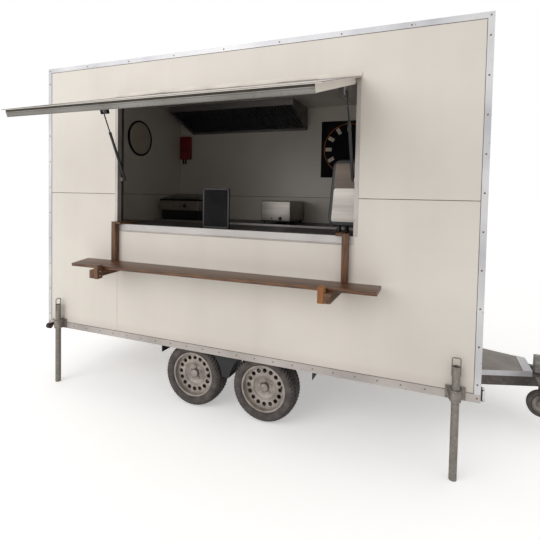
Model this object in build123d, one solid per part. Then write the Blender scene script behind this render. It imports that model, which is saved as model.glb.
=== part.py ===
"""Food trailer: a twin-axle box of sandwich panels with a top-hinged serving hatch on its right side.

+X is the way it is towed, +Y its left, away from the serving side, +Z up. Lengths are millimetres.
It is modelled from the ground under the middle of its rear face and written out from the tow ball's centre.
"""
from build123d import *
import os
from math import cos, hypot, radians, sin

# Body of sandwich panels
BODY_LENGTH = 3660
BODY_WIDTH = 2130
BODY_HEIGHT = 2385
PANEL = 40
JOINT_RISE = 1249
JOINT_BEVEL = 2
FLOOR_RISE = 165
FLOOR_THICKNESS = 30
TRIM_WIDTH = 35
TRIM_THICKNESS = 3
SKIRT_RAIL_HEIGHT = 50

# Serving opening and its lining
OPENING_REAR = 813
OPENING_FRONT_GAP = 809
OPENING_HEIGHT = 1041
OPENING_HEAD_DROP = 354
SILL_FACE = 60
LINING = 3
LINING_FLANGE = 28

# Hatch on a long hinge over the opening
HATCH_OPEN_ANGLE = 73.35
HATCH_THICKNESS = 42
HATCH_SKIN = 3
HATCH_SIDE_GAP = 5
HATCH_SIDE_LAP = 28
HATCH_SEAT_GAP = 5
HATCH_HEAD_GAP = 6
HATCH_SILL_GAP = 36
HATCH_EDGE_TRIM = 40
HINGE_RISE = 35
HINGE_RADIUS = 7
HINGE_PIN_RADIUS = 4
HINGE_KNUCKLES = 7
HINGE_LEAF = 34
HINGE_LEAF_GAP = 1
HINGE_SKIN_GAP = 3

# Running clearances
PIN_CLEARANCE = 0.3
SLIDE_CLEARANCE = 0.4
STOP_CLEARANCE = 1

# Gas struts, from the jambs to the hatch
STRUT_INSET = 25
STRUT_FOOT_INWARD = 20
STRUT_FOOT_DROP = 690
STRUT_HEAD_DEPTH = 85
STRUT_HEAD_DROP = 224
STRUT_NECK = 10
STRUT_CYLINDER_RADIUS = 11
STRUT_CYLINDER_GAP = 2
STRUT_ROD_RADIUS = 5
STRUT_SHUT_ROD = 51
STRUT_BORE_START = 60
STRUT_END_GAP = 43
STRUT_EYE_RADIUS = 12
STRUT_EYE_WIDTH = 12
STRUT_STUD_RADIUS = 4
STRUT_STUD_END = 2
STRUT_BRACKET = 30
STRUT_PLATE = 6

# Shelf hooked over the sill
SHELF_DROP = 310
SHELF_THICKNESS = 24
SHELF_REAR_DEPTH = 222
SHELF_FRONT_DEPTH = 220
SHELF_WANE = 6
SHELF_END_SKEW = 60
SHELF_REAR_OVERHANG = 276
SHELF_FRONT_OVERHANG = 249
POST = 45
POST_REAR_INSET = -2
POST_FRONT_INSET = 47
POST_TAIL = 72
HOOK_THICKNESS = 20
HOOK_REACH = 200
ARM_REACH = 330
ARM_HEIGHT = 65
NOSE_WIDTH = 40
NOSE_DEPTH = 55
NOSE_HEIGHT = 114

# Wheels
TYRE_RADIUS = 262.5
TYRE_GAP = 105
AXLES_AHEAD = 31
WHEEL_TRAVEL = 104
TYRE_WIDTH = 195
TREAD_WIDTH = 164
SHOULDER_DROP = 20
BEAD_WIDTH = 150
BEAD_GAP = 3
RIM_RADIUS = 182
RIM_FLANGE = 9
RIM_EDGE = 4
RIM_WALL = 5
DISC_CROWN = 45
DISC_CROWN_RADIUS = 95
DISC_FACE = 28
DISC_FACE_RADIUS = 62
VENT_COUNT = 16
VENT_RADIUS = 17
HUB_RADIUS = 32
HUB_LENGTH = 22
WHEEL_SIDE_GAP = 10

# Axles and mudguards
DRUM_RADIUS = 118
DRUM_WIDTH = 62
SWING_ARM_LENGTH = 150
SWING_ARM_DROP = 138
SWING_ARM_THICKNESS = 24
SWING_ARM_EYE = 30
AXLE_TUBE = 70
AXLE_BOSS = 52
AXLE_SEAT_LENGTH = 140
MUDGUARD_REAR_OVERHANG = 290
MUDGUARD_FRONT_OVERHANG = 400
MUDGUARD_DEPTH = 213
MUDGUARD_CORNER = 150
MUDGUARD_THICKNESS = 4
MUDGUARD_WIDTH = 215
MUDGUARD_GAP = 5

# Chassis and drawbar
RAIL_INSET = 415
RAIL_HEIGHT = 100
RAIL_WIDTH = 50
RAIL_WALL = 5
RAIL_END_INSET = 100
CROSS_MEMBER_COUNT = 5
CROSS_MEMBER_WIDTH = 40
CROSS_MEMBER_HEIGHT = 60
CROSS_MEMBER_INSET = 140
BEAM_DROP = 120
BEAM_HEIGHT = 75
BEAM_WIDTH = 50
BEAM_TIP = 44
BEAM_SLOPE = 0.35
BEAM_AHEAD = 760
BEAM_BEHIND = 910
BEAM_HANGER_LENGTH = 60

# Deck on the drawbar
DECK_TO_HOUSING = 38
DECK_GAP = 1
DECK_EDGING = 4
DECK_EDGING_HEIGHT = 40
DECK_EDGING_FOOT = 30
DECK_NOSE = 67

# Coupling
BALL_RISE = 85
SOCKET_RADIUS = 25.3
SOCKET_MOUTH = 22
SHAFT_RADIUS = 30
HOUSING_LENGTH = 270
HOUSING_HALF_WIDTH = 48
HOUSING_TOP_HALF_WIDTH = 36
HOUSING_RISE = 38
GAITER_GAP = 20
GAITER_LENGTH = 200
GAITER_FOLDS = 5
GAITER_VALLEY = 34
GAITER_RIDGE = 44
HEAD_LENGTH = 210
HEAD_WIDTH = 72
HEAD_CORNER = 20
HEAD_STEP = 2
HEAD_NOSE_RADIUS = 42
HEAD_NOSE_RISE = 34
HEAD_GRIP_WIDTH = 24
HEAD_GRIP_INSET = 30
HEAD_GRIP_LENGTH = 130
HEAD_GRIP_RISE = 64
HEAD_GRIP_FALL = 14
HANDBRAKE_LENGTH = 330
HANDBRAKE_TILT = 38
HANDBRAKE_RADIUS = 9
HANDBRAKE_BOSS = 14
HANDBRAKE_OUT = 14

# Jockey wheel
JOCKEY_BEHIND = 248
JOCKEY_OUT = 280
JOCKEY_RADIUS = 100
JOCKEY_WIDTH = 54
JOCKEY_SHOULDER = 10
JOCKEY_HUB_RADIUS = 30
JOCKEY_RIM_RADIUS = 66
JOCKEY_WEB_INSET = 12
JOCKEY_TRAIL = 20
JOCKEY_STOP_GAP = 13
JOCKEY_CLAMP_DROP = 10
JOCKEY_CLAMP_HEIGHT = 80
JOCKEY_CLAMP_HALF_LENGTH = 40
JOCKEY_TUBE_RADIUS = 24
JOCKEY_TUBE_LENGTH = 388
FORK_PLATE = 5
FORK_GAP = 3
FORK_CROWN = 10
FORK_CROWN_GAP = 12
FORK_EYE = 18
FORK_CROWN_LENGTH = 54
AXLE_BOLT_RADIUS = 8
CRANK_RISE = 30
CRANK_REACH = 150
CRANK_RADIUS = 6
CRANK_GRIP_RADIUS = 12
CRANK_GRIP_LENGTH = 80
COLLAR_WALL = 10

# Corner legs
LEG_REAR_INSET = 170
LEG_FRONT_INSET = 141
LEG_STAND_OFF = 45
LEG_RADIUS = 24
LEG_WALL = 3.2
LEG_TOP_RISE = 140
LOOP_WIDTH = 58
LOOP_HEIGHT = 57
LOOP_WIRE = 4
LOOP_WELD = 60
LOOP_CORNER = 12
LEG_CLAMP_HEIGHT = 82
LEG_CLAMP_WIDTH = 119
LEG_CLAMP_PLATE = 6
LEG_COLLAR_INSET = 5
LEG_LEVER_RADIUS = 5
LEG_LEVER_RISE = 78
LEG_LEVER_LEAN = 24

# Door in the front wall
DOOR_RIGHT = 60
DOOR_WIDTH = 700
DOOR_HEAD_DROP = 350
DOOR_SILL_RISE = 10
DOOR_GAP = 6
DOOR_HINGE_COUNT = 3
DOOR_HINGE_END = 220
DOOR_HINGE_LENGTH = 90
DOOR_HINGE_OUT = 14
DOOR_STRAP_LENGTH = 60
DOOR_STRAP = 5
DOOR_STRAP_HALF = 4
DOOR_STRAP_LIFT = 12
DOOR_BARREL_RADIUS = 8
DOOR_PIN_RADIUS = 4
DOOR_LOCK_INSET = 75
DOOR_LOCK_RISE = 920
DOOR_LOCK_WIDTH = 50
DOOR_LOCK_HEIGHT = 160
DOOR_LOCK_THICKNESS = 8
DOOR_LEVER_OUT = 45
DOOR_LEVER_LENGTH = 119
DOOR_LEVER_RADIUS = 9
DOOR_SPINDLE_RADIUS = 7

# Worktops and the cupboards under them
WORKTOP_THICKNESS = 30
WORKTOP_LIP = 35
SERVING_WORKTOP_DEPTH = 500
SERVING_WORKTOP_END = 560
COOKING_WORKTOP_DEPTH = 600
COOKING_WORKTOP_END = 960
COOKING_WORKTOP_DROP = 49
CUPBOARD_WALL = 18

# Hood, appliances and boards
HOOD_INSET = 200
HOOD_LENGTH = 1630
HOOD_DEPTH = 570
HOOD_BACK_DROP = 270
HOOD_LIP_DROP = 72
HOOD_SKIN = 12
GRIDDLE_INSET = 80
GRIDDLE_LENGTH = 560
GRIDDLE_DEPTH = 450
GRIDDLE_SETBACK = 25
GRIDDLE_PLINTH = 118
GRIDDLE_PLINTH_INSET = 20
GRIDDLE_BODY = 116
GRIDDLE_PLATE = 22
GRIDDLE_GUARD = 70
GRIDDLE_GUARD_WALL = 4
WARMER_INSET = 1480
WARMER_LENGTH = 355
WARMER_DEPTH = 515
WARMER_SETBACK = 10
WARMER_FOOT = 28
WARMER_FOOT_RADIUS = 14
WARMER_FOOT_INSET = 35
WARMER_HEIGHT = 234
WARMER_CORNER = 12
COFFEE_END = 600
COFFEE_LENGTH = 420
COFFEE_DEPTH = 400
COFFEE_SETBACK = 65
COFFEE_FOOT = 60
COFFEE_FOOT_RADIUS = 18
COFFEE_FOOT_INSET = 45
COFFEE_HEIGHT = 475
COFFEE_CORNER = 30
BOARD_THICKNESS = 18
SIGN_RADIUS = 210
SIGN_LEFT = 155
SIGN_DROP = 415
DIAL_BOARD_SIDE = 670
DIAL_BOARD_INSET = 2015
DIAL_BOARD_DROP = 180
BLANKET_CASE_INSET = 20
BLANKET_CASE_WIDTH = 180
BLANKET_CASE_HEIGHT = 310
BLANKET_CASE_DEPTH = 60
BLANKET_CASE_DROP = 295
MENU_BOARD_INSET = 802
MENU_BOARD_WIDTH = 237
MENU_BOARD_HEIGHT = 318
MENU_BOARD_SETBACK = 40

# Lamps
LAMP_RISE = 10
FRONT_LAMP_WIDTH = 55
FRONT_LAMP_HEIGHT = 70
FRONT_LAMP_DEPTH = 25
FRONT_LAMP_INSET = 5
TAIL_LAMP_WIDTH = 230
TAIL_LAMP_HEIGHT = 100
TAIL_LAMP_DEPTH = 39
TAIL_LAMP_INSET = 30
LAMP_CORNER = 10
STALK_TO_LEG = 110
STALK_LENGTH = 42
STALK_RADIUS = 11
STALK_DROOP = 12
STALK_LENS_RADIUS = 24
STALK_LENS_LENGTH = 36

# Places worked out from the sizes above
HALF_WIDTH = BODY_WIDTH / 2
INNER_HALF = HALF_WIDTH - PANEL
INNER_FRONT = BODY_LENGTH - PANEL
FLOOR_UNDER = 2 * TYRE_RADIUS + WHEEL_TRAVEL
FLOOR_TOP = FLOOR_UNDER + FLOOR_THICKNESS
GROUND_CLEARANCE = FLOOR_TOP - FLOOR_RISE
BODY_TOP = GROUND_CLEARANCE + BODY_HEIGHT
ROOF_UNDER = BODY_TOP - PANEL
JOINT_Z = GROUND_CLEARANCE + JOINT_RISE
OPENING_FRONT = BODY_LENGTH - OPENING_FRONT_GAP
OPENING_HEAD = BODY_TOP - OPENING_HEAD_DROP
SILL_TOP = OPENING_HEAD - OPENING_HEIGHT
COOKING_TOP = SILL_TOP - COOKING_WORKTOP_DROP
DOOR_BOTTOM = FLOOR_TOP + DOOR_SILL_RISE
DOOR_TOP = BODY_TOP - DOOR_HEAD_DROP
DOOR_LEFT = DOOR_RIGHT + DOOR_WIDTH
HATCH_BACK = -(HALF_WIDTH + LINING + HATCH_SEAT_GAP)
HINGE_Y = HATCH_BACK - HATCH_SKIN / 2
HINGE_Z = OPENING_HEAD + HINGE_RISE
HINGE_ENDS = (OPENING_REAR - HATCH_SIDE_LAP, OPENING_FRONT + HATCH_SIDE_LAP)
RAIL_SPREAD = HALF_WIDTH - RAIL_INSET
RAIL_BOTTOM = FLOOR_UNDER - RAIL_HEIGHT
BEAM_TOP = GROUND_CLEARANCE - BEAM_DROP
BEAM_BOTTOM = BEAM_TOP - BEAM_HEIGHT
BEAM_FRONT = BODY_LENGTH + BEAM_AHEAD
BEAM_REAR = BODY_LENGTH - BEAM_BEHIND
HOUSING_REAR = BEAM_FRONT - HOUSING_LENGTH
GAITER_REAR = BEAM_FRONT + GAITER_GAP
HEAD_REAR = GAITER_REAR + GAITER_LENGTH
BALL_X = HEAD_REAR + HEAD_LENGTH
BALL_Z = BEAM_TOP + BALL_RISE
AXLE_CENTRE = BODY_LENGTH / 2 + AXLES_AHEAD
AXLE_SPACING = 2 * TYRE_RADIUS + TYRE_GAP
AXLES = (("rear", AXLE_CENTRE - AXLE_SPACING / 2), ("front", AXLE_CENTRE + AXLE_SPACING / 2))
WHEEL_OUT = INNER_HALF - WHEEL_SIDE_GAP - TYRE_WIDTH / 2
LEG_LENGTH = GROUND_CLEARANCE + LEG_CLAMP_HEIGHT + LEG_TOP_RISE
LEGS = (("rear", LEG_REAR_INSET, 90), ("front", BODY_LENGTH - LEG_FRONT_INSET, 0))
UPRIGHT = (Align.CENTER, Align.CENTER, Align.MIN)


def block(x, y, z):
    """A box between two limits on each axis, given in either order."""
    limits = [sorted(pair) for pair in (x, y, z)]
    middle = [(low + high) / 2 for low, high in limits]
    return Pos(*middle) * Box(*[high - low for low, high in limits])


def along_x(points, start, end):
    """A prism along X with the outline given by (y, z) points."""
    return extrude(Plane.YZ.offset(start) * Polygon(*points, align=None), amount=end - start, dir=(1, 0, 0))


def along_y(outline, start, end):
    """A prism along Y with an outline drawn on (x, z)."""
    return extrude(Plane.XZ.offset(-start) * outline, amount=end - start, dir=(0, 1, 0))


def along_z(points, start, end):
    """A prism along Z with the outline given by (x, y) points."""
    return extrude(Plane.XY.offset(start) * Polygon(*points, align=None), amount=end - start, dir=(0, 0, 1))


def rod(start, end, radius):
    """A round bar from one point to another."""
    line = Vector(*end) - Vector(*start)
    return Plane(origin=start, z_dir=line) * Cylinder(radius, line.length, align=UPRIGHT)


def upright_rod(x, y, bottom, top, radius):
    """A round bar that stands at (x, y)."""
    return rod((x, y, bottom), (x, y, top), radius)


def mirrored(shape):
    """The shape's mirror image on the other side of the centre plane."""
    return mirror(shape, about=Plane.XZ)


def both_sides(shape):
    """A shape and its mirror image, which don't touch."""
    return [shape, mirrored(shape)]


def floor_and_roof():
    """The floor between the walls and the roof over them."""
    floor = block((PANEL, INNER_FRONT), (-INNER_HALF, INNER_HALF), (FLOOR_UNDER, FLOOR_TOP))
    roof = block((0, BODY_LENGTH), (-HALF_WIDTH, HALF_WIDTH), (ROOF_UNDER, BODY_TOP))
    return {"floor_panel": floor, "roof_panel": roof}


def bevelled(panel, along, outward):
    """The panel with its outer edge at the panel joint bevelled, which draws the joint's line."""
    edges = panel.edges().filter_by(along)
    at_joint = [edge for edge in edges if abs(edge.center().Z - JOINT_Z) < JOINT_BEVEL]
    return chamfer(max(at_joint, key=lambda edge: edge.center().dot(Vector(outward))), JOINT_BEVEL)


def walls():
    """Four walls, each of a lower and an upper panel, with the serving opening and the doorway cut."""
    opening = block(
        (OPENING_REAR - LINING, OPENING_FRONT + LINING),
        (-BODY_WIDTH, 0),
        (SILL_TOP - LINING, OPENING_HEAD + LINING),
    )
    doorway = block(
        (BODY_LENGTH / 2, 2 * BODY_LENGTH),
        (DOOR_RIGHT - LINING, DOOR_LEFT + LINING),
        (DOOR_BOTTOM - LINING, DOOR_TOP + LINING),
    )
    shapes = {}
    for tier, bottom, top in (("lower", GROUND_CLEARANCE, JOINT_Z), ("upper", JOINT_Z, ROOF_UNDER)):
        across = (-INNER_HALF, INNER_HALF)
        side = block((0, BODY_LENGTH), (INNER_HALF, HALF_WIDTH), (bottom, top))
        rear = block((0, PANEL), across, (bottom, top))
        front = block((INNER_FRONT, BODY_LENGTH), across, (bottom, top))
        side = bevelled(side, Axis.X, (0, 1, 0))
        shapes[f"far_wall_{tier}"] = side
        shapes[f"serving_wall_{tier}"] = mirrored(side) - opening
        shapes[f"rear_wall_{tier}"] = bevelled(rear, Axis.Y, (-1, 0, 0))
        shapes[f"front_wall_{tier}"] = bevelled(front, Axis.Y, (1, 0, 0)) - doorway
    return shapes


def body_box(grow, bottom, top):
    """The body's outline in plan, grown by a margin, between two heights."""
    return block((-grow, BODY_LENGTH + grow), (-HALF_WIDTH - grow, HALF_WIDTH + grow), (bottom, top))


def edge_trims():
    """Angle trims round the roof's edge and down the four corners, as one welded cage."""
    bottom = GROUND_CLEARANCE + SKIRT_RAIL_HEIGHT
    cage = body_box(TRIM_THICKNESS, bottom, BODY_TOP + TRIM_THICKNESS) - body_box(0, bottom, BODY_TOP)
    along = (TRIM_WIDTH, BODY_LENGTH - TRIM_WIDTH)
    across = (TRIM_WIDTH - HALF_WIDTH, HALF_WIDTH - TRIM_WIDTH)
    under_eaves = (bottom, BODY_TOP - TRIM_WIDTH)
    cage -= block(along, (-BODY_WIDTH, BODY_WIDTH), under_eaves)
    cage -= block((-BODY_LENGTH, 2 * BODY_LENGTH), across, under_eaves)
    cage -= block(along, across, (BODY_TOP, BODY_TOP + TRIM_THICKNESS))
    return {"edge_trims": cage}


def skirt_rails():
    """Angle rail round the bottom of the walls: an upright leg outside and a foot under the panels."""
    top = GROUND_CLEARANCE + SKIRT_RAIL_HEIGHT
    foot = GROUND_CLEARANCE - TRIM_THICKNESS
    rail = body_box(TRIM_THICKNESS, foot, top) - body_box(0, GROUND_CLEARANCE, top)
    return {"skirt_rails": rail - body_box(-PANEL, foot, top)}


def hinge_rod(ends, radius):
    """A round bar on the hatch hinge's line between two places along it."""
    return rod((ends[0], HINGE_Y, HINGE_Z), (ends[1], HINGE_Y, HINGE_Z), radius)


def knuckle(number, grip_y, grip_z):
    """One knuckle of the hatch hinge by its place in the row, with the tab that holds it."""
    pitch = (HINGE_ENDS[1] - HINGE_ENDS[0]) / HINGE_KNUCKLES
    start = HINGE_ENDS[0] + number * pitch
    ends = (start + PIN_CLEARANCE, start + pitch - PIN_CLEARANCE)
    return hinge_rod(ends, HINGE_RADIUS) + block(ends, grip_y, grip_z)


def strut_ends():
    """Each gas strut's name, place along the opening and the way from its jamb to the opening's middle."""
    return (("rear", OPENING_REAR, 1), ("front", OPENING_FRONT, -1))


def strut_foot():
    """Where a strut's foot turns on the jamb, on (y, z)."""
    return Vector(STRUT_FOOT_INWARD - INNER_HALF, HINGE_Z - STRUT_FOOT_DROP)


def strut_head(opened_by):
    """Where a strut's head meets the hatch, on (y, z), with the hatch opened by an angle."""
    shut = Vector(STRUT_HEAD_DEPTH, -STRUT_HEAD_DROP)
    return Vector(HINGE_Y, HINGE_Z) + shut.rotate(Axis.Z, -opened_by)


def window_frame():
    """Jambs and head round the opening, with the struts' studs and the hinge's fixed half."""
    outside = (-HALF_WIDTH - LINING, -HALF_WIDTH)
    inside = (-INNER_HALF, -INNER_HALF + LINING)
    through = (outside[0], inside[1])
    head = (OPENING_HEAD, OPENING_HEAD + LINING)
    head_flange = (OPENING_HEAD, OPENING_HEAD + LINING_FLANGE)
    frame = block((OPENING_REAR - LINING, OPENING_FRONT + LINING), through, head)
    frame += block((OPENING_REAR - LINING_FLANGE, OPENING_FRONT + LINING_FLANGE), outside, head_flange)
    foot = strut_foot()
    for _, jamb, away in strut_ends():
        flange = (jamb, jamb - away * LINING_FLANGE)
        frame += block((jamb, jamb - away * LINING), through, (SILL_TOP, head[1]))
        frame += block(flange, outside, (SILL_TOP, head_flange[1]))
        frame += block(flange, inside, (SILL_TOP, head[1]))
        x = jamb + away * STRUT_INSET
        plate_face = x - away * (STRUT_CYLINDER_RADIUS + STRUT_CYLINDER_GAP)
        stud_end = x + away * (STRUT_EYE_WIDTH / 2 + STRUT_STUD_END)
        frame += block(
            (flange[1], plate_face),
            (-INNER_HALF, foot.X + STRUT_EYE_RADIUS),
            (foot.Y - STRUT_BRACKET / 2, foot.Y + STRUT_BRACKET / 2),
        )
        frame += rod((plate_face, foot.X, foot.Y), (stud_end, foot.X, foot.Y), STRUT_STUD_RADIUS)
    leaf_bottom = HINGE_Z + HINGE_RADIUS + HINGE_LEAF_GAP
    hinge = block(HINGE_ENDS, outside, (leaf_bottom, HINGE_Z + HINGE_LEAF))
    hinge += hinge_rod(HINGE_ENDS, HINGE_PIN_RADIUS)
    for number in range(0, HINGE_KNUCKLES, 2):
        hinge += knuckle(number, (HINGE_Y, -HALF_WIDTH), (HINGE_Z, leaf_bottom + LINING))
    return {"window_frame": [frame, hinge]}


def sill_cap():
    """Angle capping on the bottom edge of the opening."""
    face = -HALF_WIDTH - LINING
    outline = [
        (face, SILL_TOP), (face, SILL_TOP - SILL_FACE), (-HALF_WIDTH, SILL_TOP - SILL_FACE),
        (-HALF_WIDTH, SILL_TOP - LINING), (-INNER_HALF, SILL_TOP - LINING), (-INNER_HALF, SILL_TOP),
    ]
    return {"sill_cap": along_x(outline, OPENING_REAR - LINING, OPENING_FRONT + LINING)}


def hatch():
    """The hatch: a core that fills the opening, a skin that laps its sides, edge trim and hinge leaf.

    It is drawn shut and then swung up to where its struts hold it.
    """
    skin = (HATCH_BACK - HATCH_SKIN, HATCH_BACK)
    trim = (skin[0] - TRIM_THICKNESS, skin[0])
    inner_face = HATCH_BACK + HATCH_THICKNESS
    bottom = SILL_TOP + HATCH_SILL_GAP
    skin_z = (bottom - HATCH_SKIN, HINGE_Z - HINGE_RADIUS - HINGE_SKIN_GAP)
    panel = block(HINGE_ENDS, skin, skin_z) + block(
        (OPENING_REAR + HATCH_SIDE_GAP, OPENING_FRONT - HATCH_SIDE_GAP),
        (HATCH_BACK, inner_face),
        (bottom, OPENING_HEAD - HATCH_HEAD_GAP),
    )
    edging = block(HINGE_ENDS, trim, skin_z) - block(
        (HINGE_ENDS[0] + HATCH_EDGE_TRIM, HINGE_ENDS[1] - HATCH_EDGE_TRIM),
        trim,
        (skin_z[0] + HATCH_EDGE_TRIM, skin_z[1] - HATCH_EDGE_TRIM),
    )
    for number in range(1, HINGE_KNUCKLES, 2):
        edging += knuckle(number, trim, (skin_z[1] - HATCH_EDGE_TRIM, HINGE_Z))
    edging -= hinge_rod(HINGE_ENDS, HINGE_PIN_RADIUS + PIN_CLEARANCE)
    fittings = [edging]
    head = strut_head(0)
    for _, jamb, away in strut_ends():
        plate = jamb + away * (STRUT_INSET + STRUT_EYE_WIDTH / 2 + STRUT_PLATE)
        fittings.append(block(
            (plate, plate + away * STRUT_PLATE),
            (inner_face, head.X + STRUT_EYE_RADIUS),
            (head.Y - STRUT_BRACKET / 2, head.Y + STRUT_BRACKET / 2),
        ))
    hinge_line = Axis((0, HINGE_Y, HINGE_Z), (1, 0, 0))
    return {
        "hatch_panel": panel.rotate(hinge_line, -HATCH_OPEN_ANGLE),
        "hatch_trim": [piece.rotate(hinge_line, -HATCH_OPEN_ANGLE) for piece in fittings],
    }


def gas_struts():
    """Two gas struts, each a cylinder on its jamb and a rod whose eye lies beside the hatch's plate."""
    foot = strut_foot()
    line = strut_head(HATCH_OPEN_ANGLE) - foot
    shut_length = (strut_head(0) - foot).length
    stroke = line.length - shut_length
    cylinder_end = shut_length - STRUT_SHUT_ROD
    rod_start = STRUT_BORE_START + stroke + STRUT_END_GAP
    eye = Rot(0, 90, 0) * Cylinder(STRUT_EYE_RADIUS, STRUT_EYE_WIDTH)
    bore = Rot(0, 90, 0) * Cylinder(STRUT_STUD_RADIUS + PIN_CLEARANCE, 2 * STRUT_EYE_WIDTH)
    cylinder = eye + upright_rod(0, 0, STRUT_NECK, cylinder_end, STRUT_CYLINDER_RADIUS) - bore
    cylinder -= upright_rod(0, 0, STRUT_BORE_START, cylinder_end, STRUT_ROD_RADIUS + PIN_CLEARANCE)
    bar = upright_rod(0, 0, rod_start, line.length, STRUT_ROD_RADIUS) + Pos(0, 0, line.length) * eye
    shapes = {}
    for name, jamb, away in strut_ends():
        seat = Plane(
            origin=(jamb + away * STRUT_INSET, foot.X, foot.Y), x_dir=(1, 0, 0), z_dir=(0, line.X, line.Y)
        )
        stud_end = away * (STRUT_EYE_WIDTH / 2 + STRUT_PLATE - PIN_CLEARANCE)
        stud = rod((0, 0, line.length), (stud_end, 0, line.length), STRUT_STUD_RADIUS)
        shapes[f"strut_cylinder_{name}"] = seat * cylinder
        shapes[f"strut_rod_{name}"] = seat * (bar + stud)
    return shapes


def shelf():
    """The waney plank outside the opening and the two wooden brackets that hook over the sill."""
    wall = -HALF_WIDTH - LINING
    back = wall - POST
    top = SILL_TOP - SHELF_DROP
    arm_top = top - SHELF_THICKNESS
    posts = ((OPENING_REAR + POST_REAR_INSET, 1), (OPENING_FRONT - POST_FRONT_INSET, -1))
    rear = posts[0][0] - SHELF_REAR_OVERHANG
    front = posts[1][0] + SHELF_FRONT_OVERHANG
    nose_rear = Vector(rear + SHELF_END_SKEW, back - SHELF_REAR_DEPTH)
    nose_front = Vector(front, back - SHELF_FRONT_DEPTH)
    middle = (nose_rear + nose_front) / 2
    wane = Vector(0, SHELF_WANE)
    outline = [
        Line((rear, back), nose_rear),
        ThreePointArc(nose_rear, (nose_rear + middle) / 2 + wane, middle),
        ThreePointArc(middle, (middle + nose_front) / 2 - wane, nose_front),
        Polyline(nose_front, (front, back), (rear, back)),
    ]
    plank = extrude(Plane.XY.offset(arm_top) * make_face(outline), amount=SHELF_THICKNESS, dir=(0, 0, 1))
    brackets = []
    for centre, away in posts:
        side = centre + away * POST / 2
        lap = side + away * POST
        nose = wall - ARM_REACH
        hook_top = SILL_TOP + HOOK_THICKNESS
        bracket = block((centre - away * POST / 2, side), (back, wall), (top - POST_TAIL, hook_top))
        bracket += block((side, lap), (back, wall + HOOK_REACH), (SILL_TOP, hook_top))
        bracket += block((side, lap), (nose, wall), (arm_top - ARM_HEIGHT, arm_top))
        bracket += block(
            (lap, lap + away * NOSE_WIDTH),
            (nose, nose + NOSE_DEPTH),
            (arm_top - ARM_HEIGHT, arm_top - ARM_HEIGHT + NOSE_HEIGHT),
        )
        brackets.append(bracket)
    return {"shelf_plank": plank, "shelf_brackets": brackets}


def tyre():
    """A road tyre about Y: a flat tread, leaning shoulders, upright sidewalls, beads behind the flanges."""
    bore = RIM_RADIUS - RIM_FLANGE + PIN_CLEARANCE
    step = RIM_RADIUS + BEAD_GAP
    half_section = [
        (TYRE_RADIUS, TREAD_WIDTH / 2), (TYRE_RADIUS - SHOULDER_DROP, TYRE_WIDTH / 2),
        (step, TYRE_WIDTH / 2), (step, BEAD_WIDTH / 2), (bore, BEAD_WIDTH / 2),
    ]
    other_half = [(radius, -out) for radius, out in reversed(half_section)]
    return revolve(Polygon(*half_section, *other_half, align=None), Axis.Y)


def rim():
    """A pressed steel wheel about Y, its vented disc with a sunk middle towards +Y."""
    seat = RIM_RADIUS - RIM_FLANGE
    barrel = seat - RIM_WALL
    flange = BEAD_WIDTH / 2 + PIN_CLEARANCE
    bore = HUB_RADIUS + PIN_CLEARANCE
    disc = [
        (barrel, DISC_CROWN), (DISC_CROWN_RADIUS, DISC_CROWN),
        (DISC_FACE_RADIUS, DISC_FACE), (bore, DISC_FACE),
    ]
    disc_back = [(radius, out - RIM_WALL) for radius, out in reversed(disc)]
    outline = [
        (seat, -flange), (seat, flange), (RIM_RADIUS, flange), (RIM_RADIUS, flange + RIM_EDGE),
        (barrel, flange + RIM_EDGE), *disc, *disc_back, (barrel, -flange),
    ]
    wheel = revolve(Polygon(*outline, align=None), Axis.Y)
    vent = Rot(90, 0, 0) * Cylinder(VENT_RADIUS, TYRE_WIDTH)
    vent_circle = (barrel + DISC_CROWN_RADIUS) / 2
    for number in range(VENT_COUNT):
        wheel -= Rot(0, 360 * number / VENT_COUNT, 0) * Pos(vent_circle, 0, 0) * vent
    return wheel


def wheels():
    """Four wheels, each a rim and a tyre, with the discs to the outside."""
    pieces = {"rim": rim(), "tyre": tyre()}
    shapes = {}
    for axle, x in AXLES:
        for name, piece in pieces.items():
            placed = Pos(x, WHEEL_OUT, TYRE_RADIUS) * piece
            shapes[f"{name}_{axle}_left"] = placed
            shapes[f"{name}_{axle}_right"] = mirrored(placed)
    return shapes


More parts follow.
